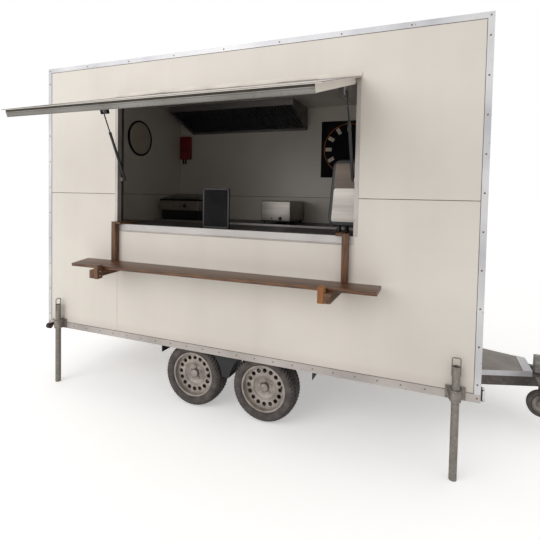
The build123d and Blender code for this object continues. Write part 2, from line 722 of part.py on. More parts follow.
def axles():
    """Rubber-torsion axle tubes under the rails, and the trailing arms, drums and hubs on them."""
    pivot_z = TYRE_RADIUS + SWING_ARM_DROP
    disc_face = WHEEL_OUT + DISC_FACE
    drum = (disc_face - RIM_WALL - STOP_CLEARANCE - DRUM_WIDTH, disc_face - RIM_WALL - STOP_CLEARANCE)
    arm_out = WHEEL_OUT - TYRE_WIDTH / 2 - WHEEL_SIDE_GAP
    arm_in = arm_out - SWING_ARM_THICKNESS
    tubes, arms = [], []
    for _, x in AXLES:
        pivot_x = x + SWING_ARM_LENGTH
        half = AXLE_TUBE / 2
        tube = block((pivot_x - half, pivot_x + half), (-arm_in, arm_in), (pivot_z - half, pivot_z + half))
        for side in (-RAIL_SPREAD, RAIL_SPREAD):
            tube += block(
                (pivot_x - AXLE_SEAT_LENGTH / 2, pivot_x + AXLE_SEAT_LENGTH / 2),
                (side - RAIL_WIDTH / 2, side + RAIL_WIDTH / 2),
                (pivot_z + half, RAIL_BOTTOM),
            )
        tubes.append(tube)
        boss = Pos(pivot_x, pivot_z) * Circle(AXLE_BOSS)
        eye = Pos(x, TYRE_RADIUS) * Circle(SWING_ARM_EYE)
        arm = along_y(make_hull(boss.edges() + eye.edges()), arm_in, arm_out)
        stub = (SWING_ARM_EYE, arm_out, drum[0])
        hub = (HUB_RADIUS, drum[1], disc_face + HUB_LENGTH)
        for radius, start, end in (stub, (DRUM_RADIUS, *drum), hub):
            arm += rod((x, start, TYRE_RADIUS), (x, end, TYRE_RADIUS), radius)
        arms += both_sides(arm)
    return {"axle_tubes": tubes, "swing_arms": arms}


def mudguards():
    """Tandem mudguards: an arch over both wheels on each side, open below."""
    length = MUDGUARD_REAR_OVERHANG + AXLE_SPACING + MUDGUARD_FRONT_OVERHANG
    middle = AXLE_CENTRE + (MUDGUARD_FRONT_OVERHANG - MUDGUARD_REAR_OVERHANG) / 2
    height = 2 * MUDGUARD_DEPTH
    wall = MUDGUARD_THICKNESS
    arch = RectangleRounded(length, height, MUDGUARD_CORNER)
    arch -= RectangleRounded(length - 2 * wall, height - 2 * wall, MUDGUARD_CORNER - wall)
    arch -= Pos(0, -height / 2) * Rectangle(length, height)
    outer = INNER_HALF - MUDGUARD_GAP
    guard = along_y(Pos(middle, FLOOR_UNDER - MUDGUARD_DEPTH) * arch, outer - MUDGUARD_WIDTH, outer)
    return {"mudguards": both_sides(guard)}


def chassis():
    """Two channel rails under the floor and the cross-members between them."""
    outer = RAIL_SPREAD + RAIL_WIDTH / 2
    inner = RAIL_SPREAD - RAIL_WIDTH / 2
    web = outer - RAIL_WALL
    low, high = RAIL_BOTTOM + RAIL_WALL, FLOOR_UNDER - RAIL_WALL
    channel = [
        (outer, RAIL_BOTTOM), (inner, RAIL_BOTTOM), (inner, low), (web, low),
        (web, high), (inner, high), (inner, FLOOR_UNDER), (outer, FLOOR_UNDER),
    ]
    rail = along_x(channel, RAIL_END_INSET, BODY_LENGTH - RAIL_END_INSET)
    half = CROSS_MEMBER_WIDTH / 2
    pitch = (BODY_LENGTH - 2 * CROSS_MEMBER_INSET) / (CROSS_MEMBER_COUNT - 1)
    members = []
    for number in range(CROSS_MEMBER_COUNT):
        x = CROSS_MEMBER_INSET + number * pitch
        members.append(
            block((x - half, x + half), (-inner, inner), (FLOOR_UNDER - CROSS_MEMBER_HEIGHT, FLOOR_UNDER))
        )
    return {"chassis_rails": both_sides(rail), "cross_members": members}


def beam_edge(x):
    """Half-width over the drawbar's arms at a place along the trailer."""
    return BEAM_TIP + BEAM_SLOPE * (BEAM_FRONT - x)


def drawbar():
    """The A-frame: two arms that meet at the coupling, hung from the chassis by hangers."""
    width = BEAM_WIDTH * hypot(1, BEAM_SLOPE)
    outline = [
        (BEAM_REAR, beam_edge(BEAM_REAR)), (BEAM_FRONT, beam_edge(BEAM_FRONT)),
        (BEAM_FRONT, beam_edge(BEAM_FRONT) - width), (BEAM_REAR, beam_edge(BEAM_REAR) - width),
    ]
    arm = along_z(outline, BEAM_BOTTOM, BEAM_TOP)
    rear_end = BEAM_REAR + BEAM_HANGER_LENGTH
    rail = (RAIL_SPREAD - RAIL_WIDTH / 2, RAIL_SPREAD + RAIL_WIDTH / 2)
    foot = (beam_edge(BEAM_REAR) - width, beam_edge(rear_end))
    arm += along_x(
        [(foot[0], BEAM_TOP), (foot[1], BEAM_TOP), (rail[1], RAIL_BOTTOM), (rail[0], RAIL_BOTTOM)],
        BEAM_REAR, rear_end,
    )
    front_start = BODY_LENGTH - CROSS_MEMBER_INSET - BEAM_HANGER_LENGTH / 2
    front_end = front_start + BEAM_HANGER_LENGTH
    arm += block(
        (front_start, front_end),
        (beam_edge(front_start) - width, beam_edge(front_end)),
        (BEAM_TOP, FLOOR_UNDER - CROSS_MEMBER_HEIGHT),
    )
    return {"drawbar_arms": arm + mirrored(arm)}


def deck_plan(inset, start, end):
    """Outline of the deck between two places along the drawbar, drawn in from the arms' outer edges."""
    corners = [(x, beam_edge(x) - inset) for x in (start, end)]
    return corners + [(x, -y) for x, y in reversed(corners)]


def deck():
    """The small deck on the drawbar, in an aluminium edging with a wide strip over its front end."""
    rear = BODY_LENGTH + TRIM_THICKNESS + DECK_GAP
    front = HOUSING_REAR - DECK_TO_HOUSING
    top = BEAM_TOP + DECK_EDGING_HEIGHT
    wall = DECK_EDGING
    edging = along_z(deck_plan(0, rear, front), BEAM_TOP, top)
    edging -= along_z(deck_plan(wall, rear, front - wall), BEAM_TOP + wall, top)
    edging -= along_z(deck_plan(DECK_EDGING_FOOT, rear, front - DECK_EDGING_FOOT), BEAM_TOP, top)
    edging += along_z(deck_plan(0, front - DECK_NOSE, front), top, top + wall)
    board = along_z(deck_plan(wall, rear, front - DECK_NOSE), BEAM_TOP + wall, top)
    return {"deck_board": board, "deck_edging": edging}


def octagon(width, height, corner):
    """A rectangle with its corners cut off, as points round its centre."""
    x, y = width / 2, height / 2
    half = [(x, corner - y), (x, y - corner), (x - corner, y), (corner - x, y)]
    return Polygon(*half, *[(-px, -py) for px, py in half], align=None)


def coupling():
    """Overrun coupling: a cast housing on the arms, a gaiter, the ball head and the handbrake lever."""
    crest = BALL_Z + HOUSING_RISE
    body = along_x(
        [
            (-HOUSING_HALF_WIDTH, BEAM_TOP), (HOUSING_HALF_WIDTH, BEAM_TOP),
            (HOUSING_TOP_HALF_WIDTH, crest), (-HOUSING_TOP_HALF_WIDTH, crest),
        ],
        HOUSING_REAR, BEAM_FRONT,
    )
    body += rod((HOUSING_REAR, 0, BALL_Z), (BALL_X - HEAD_LENGTH / 2, 0, BALL_Z), SHAFT_RADIUS)
    fold = GAITER_LENGTH / GAITER_FOLDS
    folds = [(GAITER_REAR, 0)]
    for number in range(GAITER_FOLDS):
        start = GAITER_REAR + number * fold
        folds += [(start, GAITER_VALLEY), (start + fold / 2, GAITER_RIDGE)]
    folds += [(HEAD_REAR, GAITER_VALLEY), (HEAD_REAR, 0)]
    body += Pos(0, 0, BALL_Z) * revolve(Polygon(*folds, align=None), Axis.X)

    socket_bottom = BALL_Z - SOCKET_MOUTH
    nose_top = BALL_Z + HEAD_NOSE_RISE
    nose_height = nose_top - socket_bottom - 2 * HEAD_STEP
    rear_end = Plane.YZ.offset(HEAD_REAR) * Pos(0, BALL_Z) * octagon(HEAD_WIDTH, HEAD_WIDTH, HEAD_CORNER)
    nose_end = Plane.YZ.offset(BALL_X) * Pos(0, (socket_bottom + nose_top) / 2)
    head = loft([rear_end, nose_end * octagon(HEAD_WIDTH, nose_height, HEAD_CORNER)], ruled=True)
    head += upright_rod(BALL_X, 0, socket_bottom, nose_top, HEAD_NOSE_RADIUS)
    grip_rear = HEAD_REAR + HEAD_GRIP_INSET
    grip_front = grip_rear + HEAD_GRIP_LENGTH
    grip_top = BALL_Z + HEAD_GRIP_RISE
    grip = [
        (grip_rear, BALL_Z), (grip_front, BALL_Z),
        (grip_front, grip_top - HEAD_GRIP_FALL), (grip_rear, grip_top),
    ]
    head += along_y(Polygon(*grip, align=None), -HEAD_GRIP_WIDTH / 2, HEAD_GRIP_WIDTH / 2)
    head -= upright_rod(BALL_X, 0, socket_bottom, BALL_Z, SOCKET_RADIUS)
    head -= Pos(BALL_X, 0, BALL_Z) * Sphere(SOCKET_RADIUS)

    pivot_x = HOUSING_REAR + HOUSING_LENGTH / 2
    lever_y = HOUSING_HALF_WIDTH + HANDBRAKE_OUT
    tilt = radians(HANDBRAKE_TILT)
    tip = (pivot_x + HANDBRAKE_LENGTH * cos(tilt), lever_y, BALL_Z + HANDBRAKE_LENGTH * sin(tilt))
    lever = rod((pivot_x, lever_y, BALL_Z), tip, HANDBRAKE_RADIUS)
    lever += rod((pivot_x, 0, BALL_Z), (pivot_x, lever_y + HANDBRAKE_BOSS, BALL_Z), HANDBRAKE_BOSS)
    return {"coupling": body + head + lever}


def jockey_wheel():
    """The jockey wheel: a clamp on the drawbar, a tube with a crank, a swivelling fork and a wheel."""
    x, y = BEAM_FRONT - JOCKEY_BEHIND, -JOCKEY_OUT
    clamp_bottom = BEAM_TOP - JOCKEY_CLAMP_DROP
    clamp_top = clamp_bottom + JOCKEY_CLAMP_HEIGHT
    ends = (x - JOCKEY_CLAMP_HALF_LENGTH, x + JOCKEY_CLAMP_HALF_LENGTH)
    on_beam = [(end, -beam_edge(end)) for end in reversed(ends)]
    clamp = along_z([(ends[0], y), (ends[1], y), *on_beam], clamp_bottom, BEAM_TOP)
    clamp += upright_rod(x, y, clamp_bottom, clamp_top, JOCKEY_TUBE_RADIUS + COLLAR_WALL)
    clamp -= upright_rod(x, y, clamp_bottom, clamp_top, JOCKEY_TUBE_RADIUS + SLIDE_CLEARANCE)

    crown_top = clamp_bottom - JOCKEY_STOP_GAP
    tube_top = crown_top + JOCKEY_TUBE_LENGTH
    crank_z = tube_top + CRANK_RISE
    crank_x = x + CRANK_REACH
    tube = upright_rod(x, y, crown_top, tube_top, JOCKEY_TUBE_RADIUS)
    tube += upright_rod(x, y, tube_top, crank_z + CRANK_RADIUS, CRANK_RADIUS)
    tube += rod((x, y, crank_z), (crank_x, y, crank_z), CRANK_RADIUS)
    tube += upright_rod(crank_x, y, crank_z - CRANK_RADIUS, crank_z + CRANK_GRIP_LENGTH, CRANK_GRIP_RADIUS)

    axle_x = x - JOCKEY_TRAIL
    axle_z = crown_top - FORK_CROWN - FORK_CROWN_GAP - JOCKEY_RADIUS
    fork_top = crown_top - PIN_CLEARANCE
    inside = JOCKEY_WIDTH / 2 + FORK_GAP
    outside = inside + FORK_PLATE
    crown_x = (axle_x + x) / 2
    crown = Pos(crown_x, fork_top - FORK_CROWN / 2) * Rectangle(FORK_CROWN_LENGTH, FORK_CROWN)
    cheek = make_hull((Pos(axle_x, axle_z) * Circle(FORK_EYE)).edges() + crown.edges())
    fork = along_y(crown, y - outside, y + outside)
    fork += along_y(cheek, y - outside, y - inside) + along_y(cheek, y + inside, y + outside)
    fork += rod((axle_x, y - outside, axle_z), (axle_x, y + outside, axle_z), AXLE_BOLT_RADIUS)

    half = JOCKEY_WIDTH / 2
    web = half - JOCKEY_WEB_INSET
    half_section = [
        (JOCKEY_RADIUS, half - JOCKEY_SHOULDER), (JOCKEY_RADIUS - JOCKEY_SHOULDER, half),
        (JOCKEY_RIM_RADIUS, half), (JOCKEY_RIM_RADIUS, web),
        (JOCKEY_HUB_RADIUS, web), (JOCKEY_HUB_RADIUS, half), (AXLE_BOLT_RADIUS + PIN_CLEARANCE, half),
    ]
    other_half = [(radius, -out) for radius, out in reversed(half_section)]
    wheel = Pos(axle_x, y, axle_z) * revolve(Polygon(*half_section, *other_half, align=None), Axis.Y)
    return {"jockey_clamp": clamp, "jockey_tube": tube, "jockey_fork": fork, "jockey_wheel": wheel}


def leg_loop():
    """The wire loop handle welded to a leg's top, across X, about the leg's own line."""
    half = LOOP_WIDTH / 2 - LOOP_WIRE
    top = LEG_LENGTH + LOOP_HEIGHT - LOOP_WIRE
    foot = LEG_LENGTH - LOOP_WELD
    corners = ((-half, 0, foot), (-half, 0, top), (half, 0, top), (half, 0, foot))
    path = FilletPolyline(*corners, radius=LOOP_CORNER)
    return sweep(path.location_at(0) * Circle(LOOP_WIRE), path)


def legs():
    """Four prop legs with loop handles, and the clamps on the skirt rail that they slide in."""
    face = HALF_WIDTH + TRIM_THICKNESS
    y = HALF_WIDTH + LEG_STAND_OFF
    plate = (GROUND_CLEARANCE, GROUND_CLEARANCE + LEG_CLAMP_HEIGHT)
    grip = (plate[0] + LEG_COLLAR_INSET, plate[1] - LEG_COLLAR_INSET)
    collar = LEG_RADIUS + COLLAR_WALL
    tube = upright_rod(0, 0, 0, LEG_LENGTH, LEG_RADIUS)
    tube -= upright_rod(0, 0, 0, LEG_LENGTH, LEG_RADIUS - LEG_WALL)
    shapes, clamps = {}, []
    for end, x, turn in LEGS:
        leg = Pos(x, y, 0) * (tube + Rot(0, 0, turn) * leg_loop())
        shapes[f"leg_{end}_left"] = leg
        shapes[f"leg_{end}_right"] = mirrored(leg)
        half = LEG_CLAMP_WIDTH / 2
        clamp = block((x - half, x + half), (face, face + LEG_CLAMP_PLATE), plate)
        clamp += block((x - collar, x + collar), (face, y), grip)
        clamp += upright_rod(x, y, *grip, collar)
        clamp += rod(
            (x - collar, y, grip[0] + LEG_LEVER_RADIUS),
            (x - collar - LEG_LEVER_LEAN, y, grip[0] + LEG_LEVER_RISE),
            LEG_LEVER_RADIUS,
        )
        clamp -= upright_rod(x, y, *plate, LEG_RADIUS + SLIDE_CLEARANCE)
        clamps += both_sides(clamp)
    shapes["leg_clamps"] = clamps
    return shapes


def hinge_strap(hinge_x, hinge_y, reach):
    """Outline on (x, y) of a door hinge's strap, from the wall's face to the pin, reaching to one side."""
    way = 1 if reach > 0 else -1
    lift = way * DOOR_STRAP_LIFT
    return [
        (BODY_LENGTH, hinge_y + reach), (BODY_LENGTH + DOOR_STRAP, hinge_y + reach),
        (hinge_x + DOOR_STRAP_HALF, hinge_y + lift), (hinge_x + DOOR_STRAP_HALF, hinge_y),
        (hinge_x - DOOR_STRAP_HALF, hinge_y), (BODY_LENGTH, hinge_y + 2 * lift),
    ]


def door():
    """Entry door in the front wall: its lining and hinge lugs, the panel, and the lock and hinge leaves."""
    depth = (INNER_FRONT, BODY_LENGTH)
    hinge_x = BODY_LENGTH + DOOR_HINGE_OUT
    hinge_y = DOOR_LEFT + LINING
    frame = [
        block(depth, (DOOR_RIGHT - LINING, DOOR_LEFT + LINING), (DOOR_BOTTOM - LINING, DOOR_TOP + LINING))
        - block(depth, (DOOR_RIGHT, DOOR_LEFT), (DOOR_BOTTOM, DOOR_TOP))
    ]
    panel = block(
        depth, (DOOR_RIGHT + DOOR_GAP, DOOR_LEFT - DOOR_GAP), (DOOR_BOTTOM + DOOR_GAP, DOOR_TOP - DOOR_GAP)
    )
    fittings = []
    pitch = (DOOR_TOP - DOOR_BOTTOM - 2 * DOOR_HINGE_END) / (DOOR_HINGE_COUNT - 1)
    for number in range(DOOR_HINGE_COUNT):
        z = DOOR_BOTTOM + DOOR_HINGE_END + number * pitch
        low, high = z - DOOR_HINGE_LENGTH / 2, z + DOOR_HINGE_LENGTH / 2
        lug = along_z(hinge_strap(hinge_x, hinge_y, DOOR_STRAP_LENGTH), low, z)
        lug += upright_rod(hinge_x, hinge_y, low, z, DOOR_BARREL_RADIUS)
        lug += upright_rod(hinge_x, hinge_y, z, high, DOOR_PIN_RADIUS)
        frame.append(lug)
        leaf_bottom = z + STOP_CLEARANCE
        leaf = along_z(hinge_strap(hinge_x, hinge_y, -DOOR_STRAP_LENGTH), leaf_bottom, high)
        leaf += upright_rod(hinge_x, hinge_y, leaf_bottom, high, DOOR_BARREL_RADIUS)
        leaf -= upright_rod(hinge_x, hinge_y, leaf_bottom, high, DOOR_PIN_RADIUS + PIN_CLEARANCE)
        fittings.append(leaf)
    lock_y = DOOR_RIGHT + DOOR_LOCK_INSET
    lock_z = DOOR_BOTTOM + DOOR_LOCK_RISE
    plate = BODY_LENGTH + DOOR_LOCK_THICKNESS
    lever_x = BODY_LENGTH + DOOR_LEVER_OUT
    lock = block(
        (BODY_LENGTH, plate),
        (lock_y - DOOR_LOCK_WIDTH / 2, lock_y + DOOR_LOCK_WIDTH / 2),
        (lock_z - DOOR_LOCK_HEIGHT / 2, lock_z + DOOR_LOCK_HEIGHT / 2),
    )
    lock += rod((plate, lock_y, lock_z), (lever_x, lock_y, lock_z), DOOR_SPINDLE_RADIUS)
    lever = (lock_y - DOOR_LEVER_RADIUS, lock_y - DOOR_LEVER_RADIUS + DOOR_LEVER_LENGTH)
    lock += rod((lever_x, lever[0], lock_z), (lever_x, lever[1], lock_z), DOOR_LEVER_RADIUS)
    fittings.append(lock)
    return {"door_frame": frame, "door_panel": panel, "door_fittings": fittings}


def worktops():
    """Worktops along both sides and the closed cupboards under them."""
    wall = CUPBOARD_WALL
    # side of the trailer, top, depth from the wall, end short of the front face
    runs = (
        (-1, SILL_TOP, SERVING_WORKTOP_DEPTH, SERVING_WORKTOP_END),
        (1, COOKING_TOP, COOKING_WORKTOP_DEPTH, COOKING_WORKTOP_END),
    )
    tops, cupboards = [], []
    for side, top, depth, short in runs:
        end = BODY_LENGTH - short
        under = top - WORKTOP_THICKNESS
        back = side * INNER_HALF
        tops.append(block((PANEL, end), (back, back - side * depth), (under, top)))
        face = back - side * (depth - WORKTOP_LIP)
        carcass = block((PANEL, end - WORKTOP_LIP), (back, face), (FLOOR_TOP, under))
        carcass -= block(
            (PANEL + wall, end - WORKTOP_LIP - wall),
            (back - side * wall, face + side * wall),
            (FLOOR_TOP + wall, under - wall),
        )
        cupboards.append(carcass)
    return {"worktops": tops, "cupboards": cupboards}


def extractor_hood():
    """The canopy over the cooking worktop, a folded skin open underneath."""
    lip = INNER_HALF - HOOD_DEPTH
    rear = PANEL + HOOD_INSET
    skin = HOOD_SKIN
    back_bottom, lip_bottom = ROOF_UNDER - HOOD_BACK_DROP, ROOF_UNDER - HOOD_LIP_DROP
    hood = along_x(
        [(lip, ROOF_UNDER), (INNER_HALF, ROOF_UNDER), (INNER_HALF, back_bottom), (lip, lip_bottom)],
        rear, rear + HOOD_LENGTH,
    )
    hood -= along_x(
        [
            (lip + skin, ROOF_UNDER - skin), (INNER_HALF - skin, ROOF_UNDER - skin),
            (INNER_HALF - skin, back_bottom - HOOD_BACK_DROP), (lip + skin, lip_bottom - HOOD_BACK_DROP),
        ],
        rear + skin, rear + HOOD_LENGTH - skin,
    )
    return {"extractor_hood": hood}


def feet(x, y, bottom, top, inset, radius):
    """Four round feet under an appliance, set in from the corners of its limits on x and y."""
    ends_x, ends_y = (x[0] + inset, x[1] - inset), (y[0] + inset, y[1] - inset)
    return [upright_rod(end_x, end_y, bottom, top, radius) for end_x in ends_x for end_y in ends_y]


def appliances():
    """Griddle and warmer on the cooking worktop, coffee machine on the serving one."""
    face = INNER_HALF - COOKING_WORKTOP_DEPTH
    x = (PANEL + GRIDDLE_INSET, PANEL + GRIDDLE_INSET + GRIDDLE_LENGTH)
    y = (face + GRIDDLE_SETBACK, face + GRIDDLE_SETBACK + GRIDDLE_DEPTH)
    inset = GRIDDLE_PLINTH_INSET
    body_bottom = COOKING_TOP + GRIDDLE_PLINTH
    plate_bottom = body_bottom + GRIDDLE_BODY
    plate_top = plate_bottom + GRIDDLE_PLATE
    griddle = block((x[0] + inset, x[1] - inset), (y[0] + inset, y[1] - inset), (COOKING_TOP, body_bottom))
    griddle += block(x, y, (body_bottom, plate_bottom))
    griddle += block(x, y, (plate_bottom, plate_top))
    guard_top = plate_top + GRIDDLE_GUARD
    guard = along_x(
        [(y[0], plate_top), (y[1], plate_top), (y[1], guard_top), (y[1] - GRIDDLE_GUARD, guard_top)], *x
    )
    guard -= block(
        (x[0] + GRIDDLE_GUARD_WALL, x[1] - GRIDDLE_GUARD_WALL),
        (y[0], y[1] - GRIDDLE_GUARD_WALL),
        (plate_top, guard_top),
    )
    griddle += guard

    x = (PANEL + WARMER_INSET, PANEL + WARMER_INSET + WARMER_LENGTH)
    y = (face + WARMER_SETBACK, face + WARMER_SETBACK + WARMER_DEPTH)
    case_bottom = COOKING_TOP + WARMER_FOOT
    warmer = block(x, y, (case_bottom, case_bottom + WARMER_HEIGHT))
    warmer = fillet(warmer.edges().filter_by(Axis.Y).group_by(Axis.Z)[-1], WARMER_CORNER)
    warmer += feet(x, y, COOKING_TOP, case_bottom, WARMER_FOOT_INSET, WARMER_FOOT_RADIUS)

    front = BODY_LENGTH - COFFEE_END
    x = (front - COFFEE_LENGTH, front)
    y = (COFFEE_SETBACK - INNER_HALF, COFFEE_SETBACK - INNER_HALF + COFFEE_DEPTH)
    case_bottom = SILL_TOP + COFFEE_FOOT
    machine = block(x, y, (case_bottom, case_bottom + COFFEE_HEIGHT))
    machine = fillet(machine.edges().filter_by(Axis.Y), COFFEE_CORNER)
    machine += feet(x, y, SILL_TOP, case_bottom, COFFEE_FOOT_INSET, COFFEE_FOOT_RADIUS)
    return {"cooking_appliances": [griddle, warmer], "coffee_machine": machine}


def wall_boards():
    """Boards inside: a round sign, a square dial board, a fire blanket case and a menu board."""
    sign_at = (SIGN_LEFT, ROOF_UNDER - SIGN_DROP)
    sign = rod((PANEL, *sign_at), (PANEL + BOARD_THICKNESS, *sign_at), SIGN_RADIUS)
    rear, top = PANEL + DIAL_BOARD_INSET, ROOF_UNDER - DIAL_BOARD_DROP
    dial = block(
        (rear, rear + DIAL_BOARD_SIDE),
        (INNER_HALF - BOARD_THICKNESS, INNER_HALF),
        (top - DIAL_BOARD_SIDE, top),
    )
    rear, top = PANEL + BLANKET_CASE_INSET, ROOF_UNDER - BLANKET_CASE_DROP
    case = block(
        (rear, rear + BLANKET_CASE_WIDTH),
        (INNER_HALF - BLANKET_CASE_DEPTH, INNER_HALF),
        (top - BLANKET_CASE_HEIGHT, top),
    )
    rear, back = OPENING_REAR + MENU_BOARD_INSET, MENU_BOARD_SETBACK - INNER_HALF
    menu = block(
        (rear, rear + MENU_BOARD_WIDTH),
        (back, back + BOARD_THICKNESS),
        (SILL_TOP, SILL_TOP + MENU_BOARD_HEIGHT),
    )
    return {"wall_boards": [sign, dial, case, menu]}


def lamps():
    """Front markers and rear stalk markers at the corners, and the tail lamps."""
    bottom = GROUND_CLEARANCE + LAMP_RISE
    face = BODY_LENGTH + TRIM_THICKNESS
    edge = HALF_WIDTH - FRONT_LAMP_INSET
    front = block(
        (face, face + FRONT_LAMP_DEPTH),
        (edge - FRONT_LAMP_WIDTH, edge),
        (bottom, bottom + FRONT_LAMP_HEIGHT),
    )
    front = fillet(front.faces().sort_by(Axis.X)[-1].edges(), LAMP_CORNER)
    edge = HALF_WIDTH - TAIL_LAMP_INSET
    tail = block(
        (-TRIM_THICKNESS - TAIL_LAMP_DEPTH, -TRIM_THICKNESS),
        (edge - TAIL_LAMP_WIDTH, edge),
        (bottom, bottom + TAIL_LAMP_HEIGHT),
    )
    tail = fillet(tail.faces().sort_by(Axis.X)[0].edges(), LAMP_CORNER)
    root = HALF_WIDTH + TRIM_THICKNESS
    stalk_x = LEG_REAR_INSET - STALK_TO_LEG
    height = bottom + STALK_RADIUS
    lens_y, lens_z = root + STALK_LENGTH, height - STALK_DROOP
    stalk = rod((stalk_x, root, height), (stalk_x, lens_y, height), STALK_RADIUS)
    stalk += rod(
        (stalk_x - STALK_LENS_LENGTH / 2, lens_y, lens_z),
        (stalk_x + STALK_LENS_LENGTH / 2, lens_y, lens_z),
        STALK_LENS_RADIUS,
    )
    return {"marker_lamps": both_sides(front) + both_sides(stalk), "tail_lamps": both_sides(tail)}


def write(name, shape):
    """Write one sub-part, moved so that the tow ball's centre is the origin."""
    pieces = shape if isinstance(shape, list) else [shape]
    placed = [Pos(-BALL_X, 0, -BALL_Z) * solid for piece in pieces for solid in piece.solids()]
    export_step(placed[0] if len(placed) == 1 else Compound(children=placed), f"parts/{name}.step")


def main():
    os.makedirs("parts", exist_ok=True)
    groups = (
        floor_and_roof, walls, edge_trims, skirt_rails, window_frame, sill_cap, hatch, gas_struts, shelf,
        wheels, axles, mudguards, chassis, drawbar, deck, coupling, jockey_wheel, legs, door, worktops,
        extractor_hood, appliances, wall_boards, lamps,
    )
    for group in groups:
        for name, shape in group().items():
            write(name, shape)


main()
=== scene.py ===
"""Looks for a food trailer, laid out as a Blender add-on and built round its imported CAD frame.

Sizes in this file are millimetres, as on a workshop drawing: along from the body's rear face, across from
the middle, up from a datum 430 mm under the middle of the tow ball.
"""

import math

import bpy
import numpy as np
from bpy.props import FloatProperty, FloatVectorProperty, IntProperty, PointerProperty
from bpy.types import Operator, Panel, PropertyGroup
from mathutils import Matrix, Vector


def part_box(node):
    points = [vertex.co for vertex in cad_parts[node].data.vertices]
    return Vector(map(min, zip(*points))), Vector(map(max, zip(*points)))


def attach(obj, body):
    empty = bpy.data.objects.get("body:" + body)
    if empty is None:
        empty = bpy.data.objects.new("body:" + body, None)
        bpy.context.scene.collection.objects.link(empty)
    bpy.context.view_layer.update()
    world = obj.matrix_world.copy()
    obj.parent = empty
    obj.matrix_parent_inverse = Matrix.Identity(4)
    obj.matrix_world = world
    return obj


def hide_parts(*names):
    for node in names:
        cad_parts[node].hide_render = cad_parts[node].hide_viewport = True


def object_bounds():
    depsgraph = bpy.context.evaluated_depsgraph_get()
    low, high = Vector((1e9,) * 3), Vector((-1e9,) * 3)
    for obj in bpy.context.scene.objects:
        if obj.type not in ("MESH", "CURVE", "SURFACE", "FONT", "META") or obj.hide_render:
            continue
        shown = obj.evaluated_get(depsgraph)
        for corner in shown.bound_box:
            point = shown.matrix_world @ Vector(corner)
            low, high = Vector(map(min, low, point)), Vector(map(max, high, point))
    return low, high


bl_info = {
    "name": "Food trailer looks",
    "version": (1, 0, 0),
    "blender": (4, 5, 0),
    "location": "3D View > Sidebar > Trailer",
    "description": "Finishes and fittings for a tandem-axle food trailer",
    "category": "Object",
}

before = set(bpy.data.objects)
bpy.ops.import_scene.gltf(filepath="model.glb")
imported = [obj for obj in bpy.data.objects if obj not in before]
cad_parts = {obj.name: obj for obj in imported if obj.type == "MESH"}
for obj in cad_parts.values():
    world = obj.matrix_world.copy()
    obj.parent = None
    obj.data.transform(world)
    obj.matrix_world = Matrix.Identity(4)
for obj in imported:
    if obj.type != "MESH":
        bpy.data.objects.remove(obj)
CAD_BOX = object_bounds()

MM = 0.001
BALL = np.array((4850.0, 0.0, 430.0))
X, Y, Z = np.eye(3)
SIDES = (-1, 1)

# Body
LENGTH = 3660.0
HALF_WIDTH = 1065.0
BOTTOM = 465.0
TOP = 2850.0
PANEL = 40.0
TRIM = 35.0
SKIN = 3.0
JOINT_Z = 1714.0
RAIL_TOP = 515.0
FACE_Y = -HALF_WIDTH - SKIN
LAMP_Z = 474.2

# Serving opening, and its hatch, which is drawn shut and turned about its hinge to stand open
OPENING = (813.0, 2851.0)
SILL = 1455.0
HEAD = 2496.0
SEAM_TOP = 1394.0
SILL_LIP_Z = 1399.0
HINGE_LEAF_Z = 2553.0
HINGE_STRIP_Z = 2556.0
HINGE = np.array((0.0, -1074.5, 2531.0))
HATCH_OPEN = math.radians(73.35)
HATCH_CORE = np.array(((818.0, -1073.0, 1491.0), (2846.0, -1031.0, 2490.0)))
# The struts' two places along the body add up to this, so it mirrors one into the other
STRUT_SPAN = 3664.0
STRUT_BRACKET = (2292.0, 2322.0)
STRUT_CHEEKS = ((819.5, 826.5), (855.0, 888.0))
STRUT_EYE = 12.0

# Shelf: the droop is how far its front corner and its bracket sink at the rear
SHELF_DROOP = 14.0
SHELF_SLANT = 38.0
SHELF_POST = 45.0
SHELF_REACH = 330.0
SHELF_NOSE = (40.0, 275.0)
HOOK_TOP = SILL + 20

# Road wheels: the tyre's section about its middle radius, the bolts, and the mudguards' valleys between
TYRE_MIDDLE = 215.0
TYRE_HALF_WIDTH = 97.5
TYRE_HALF_HEIGHT = 47.5
TREAD_EDGE = 94.0
TREAD_GROOVES = (-54, -19, 19, 54)
SIDEWALL_RIBS = (226.0, 199.0)
BOLT_CIRCLE = 47.0
BOLT_TURN = 0.3
DISC_FACE = 28.0
VALLEY_TOP = 596.0
VALLEY_FOOT = 275.0
VALLEY_HALF_WIDTH = 96.0
VALLEY_RADIUS = 287.5
VALLEY_NEAREST = 148.0

# Kitchen and boards
WORKTOP = 1406.0
EDGING = (42.0, 2700.0)
FAR_LINING = HALF_WIDTH - PANEL
HOOD_MOUTH = (455.0, 2738.0)
HOOD_SLOPE = (2738 - 2540) / 570
DIAL_CENTRE = (2390, FAR_LINING - 18, 2295)
DIAL_HALF = 335.0
SIGN_CENTRE = (PANEL, 155, 2383)

# Studio: metres from the tow ball, the sensor in millimetres, the shift as a share of the picture
SENSOR = 36.0
PICTURE_SHIFT = -0.1083
FLOOR_SIZE = 400.0
LAMP_PLACE = (-6.4, -8.2, 3.9)
LAMP_AIM = Vector((-3, -1, 0.8))
LAMP_SIZE = 6.0


def box_mm(node):
    """Lowest and highest corner of a CAD node, in drawing millimetres."""
    low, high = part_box(node)
    return np.array(low) / MM + BALL, np.array(high) / MM + BALL


# Middle of each road wheel
HUBS = {
    f"{end}_{side}": sum(box_mm(f"tyre_{end}_{side}")) / 2
    for end in ("rear", "front") for side in ("left", "right")
}


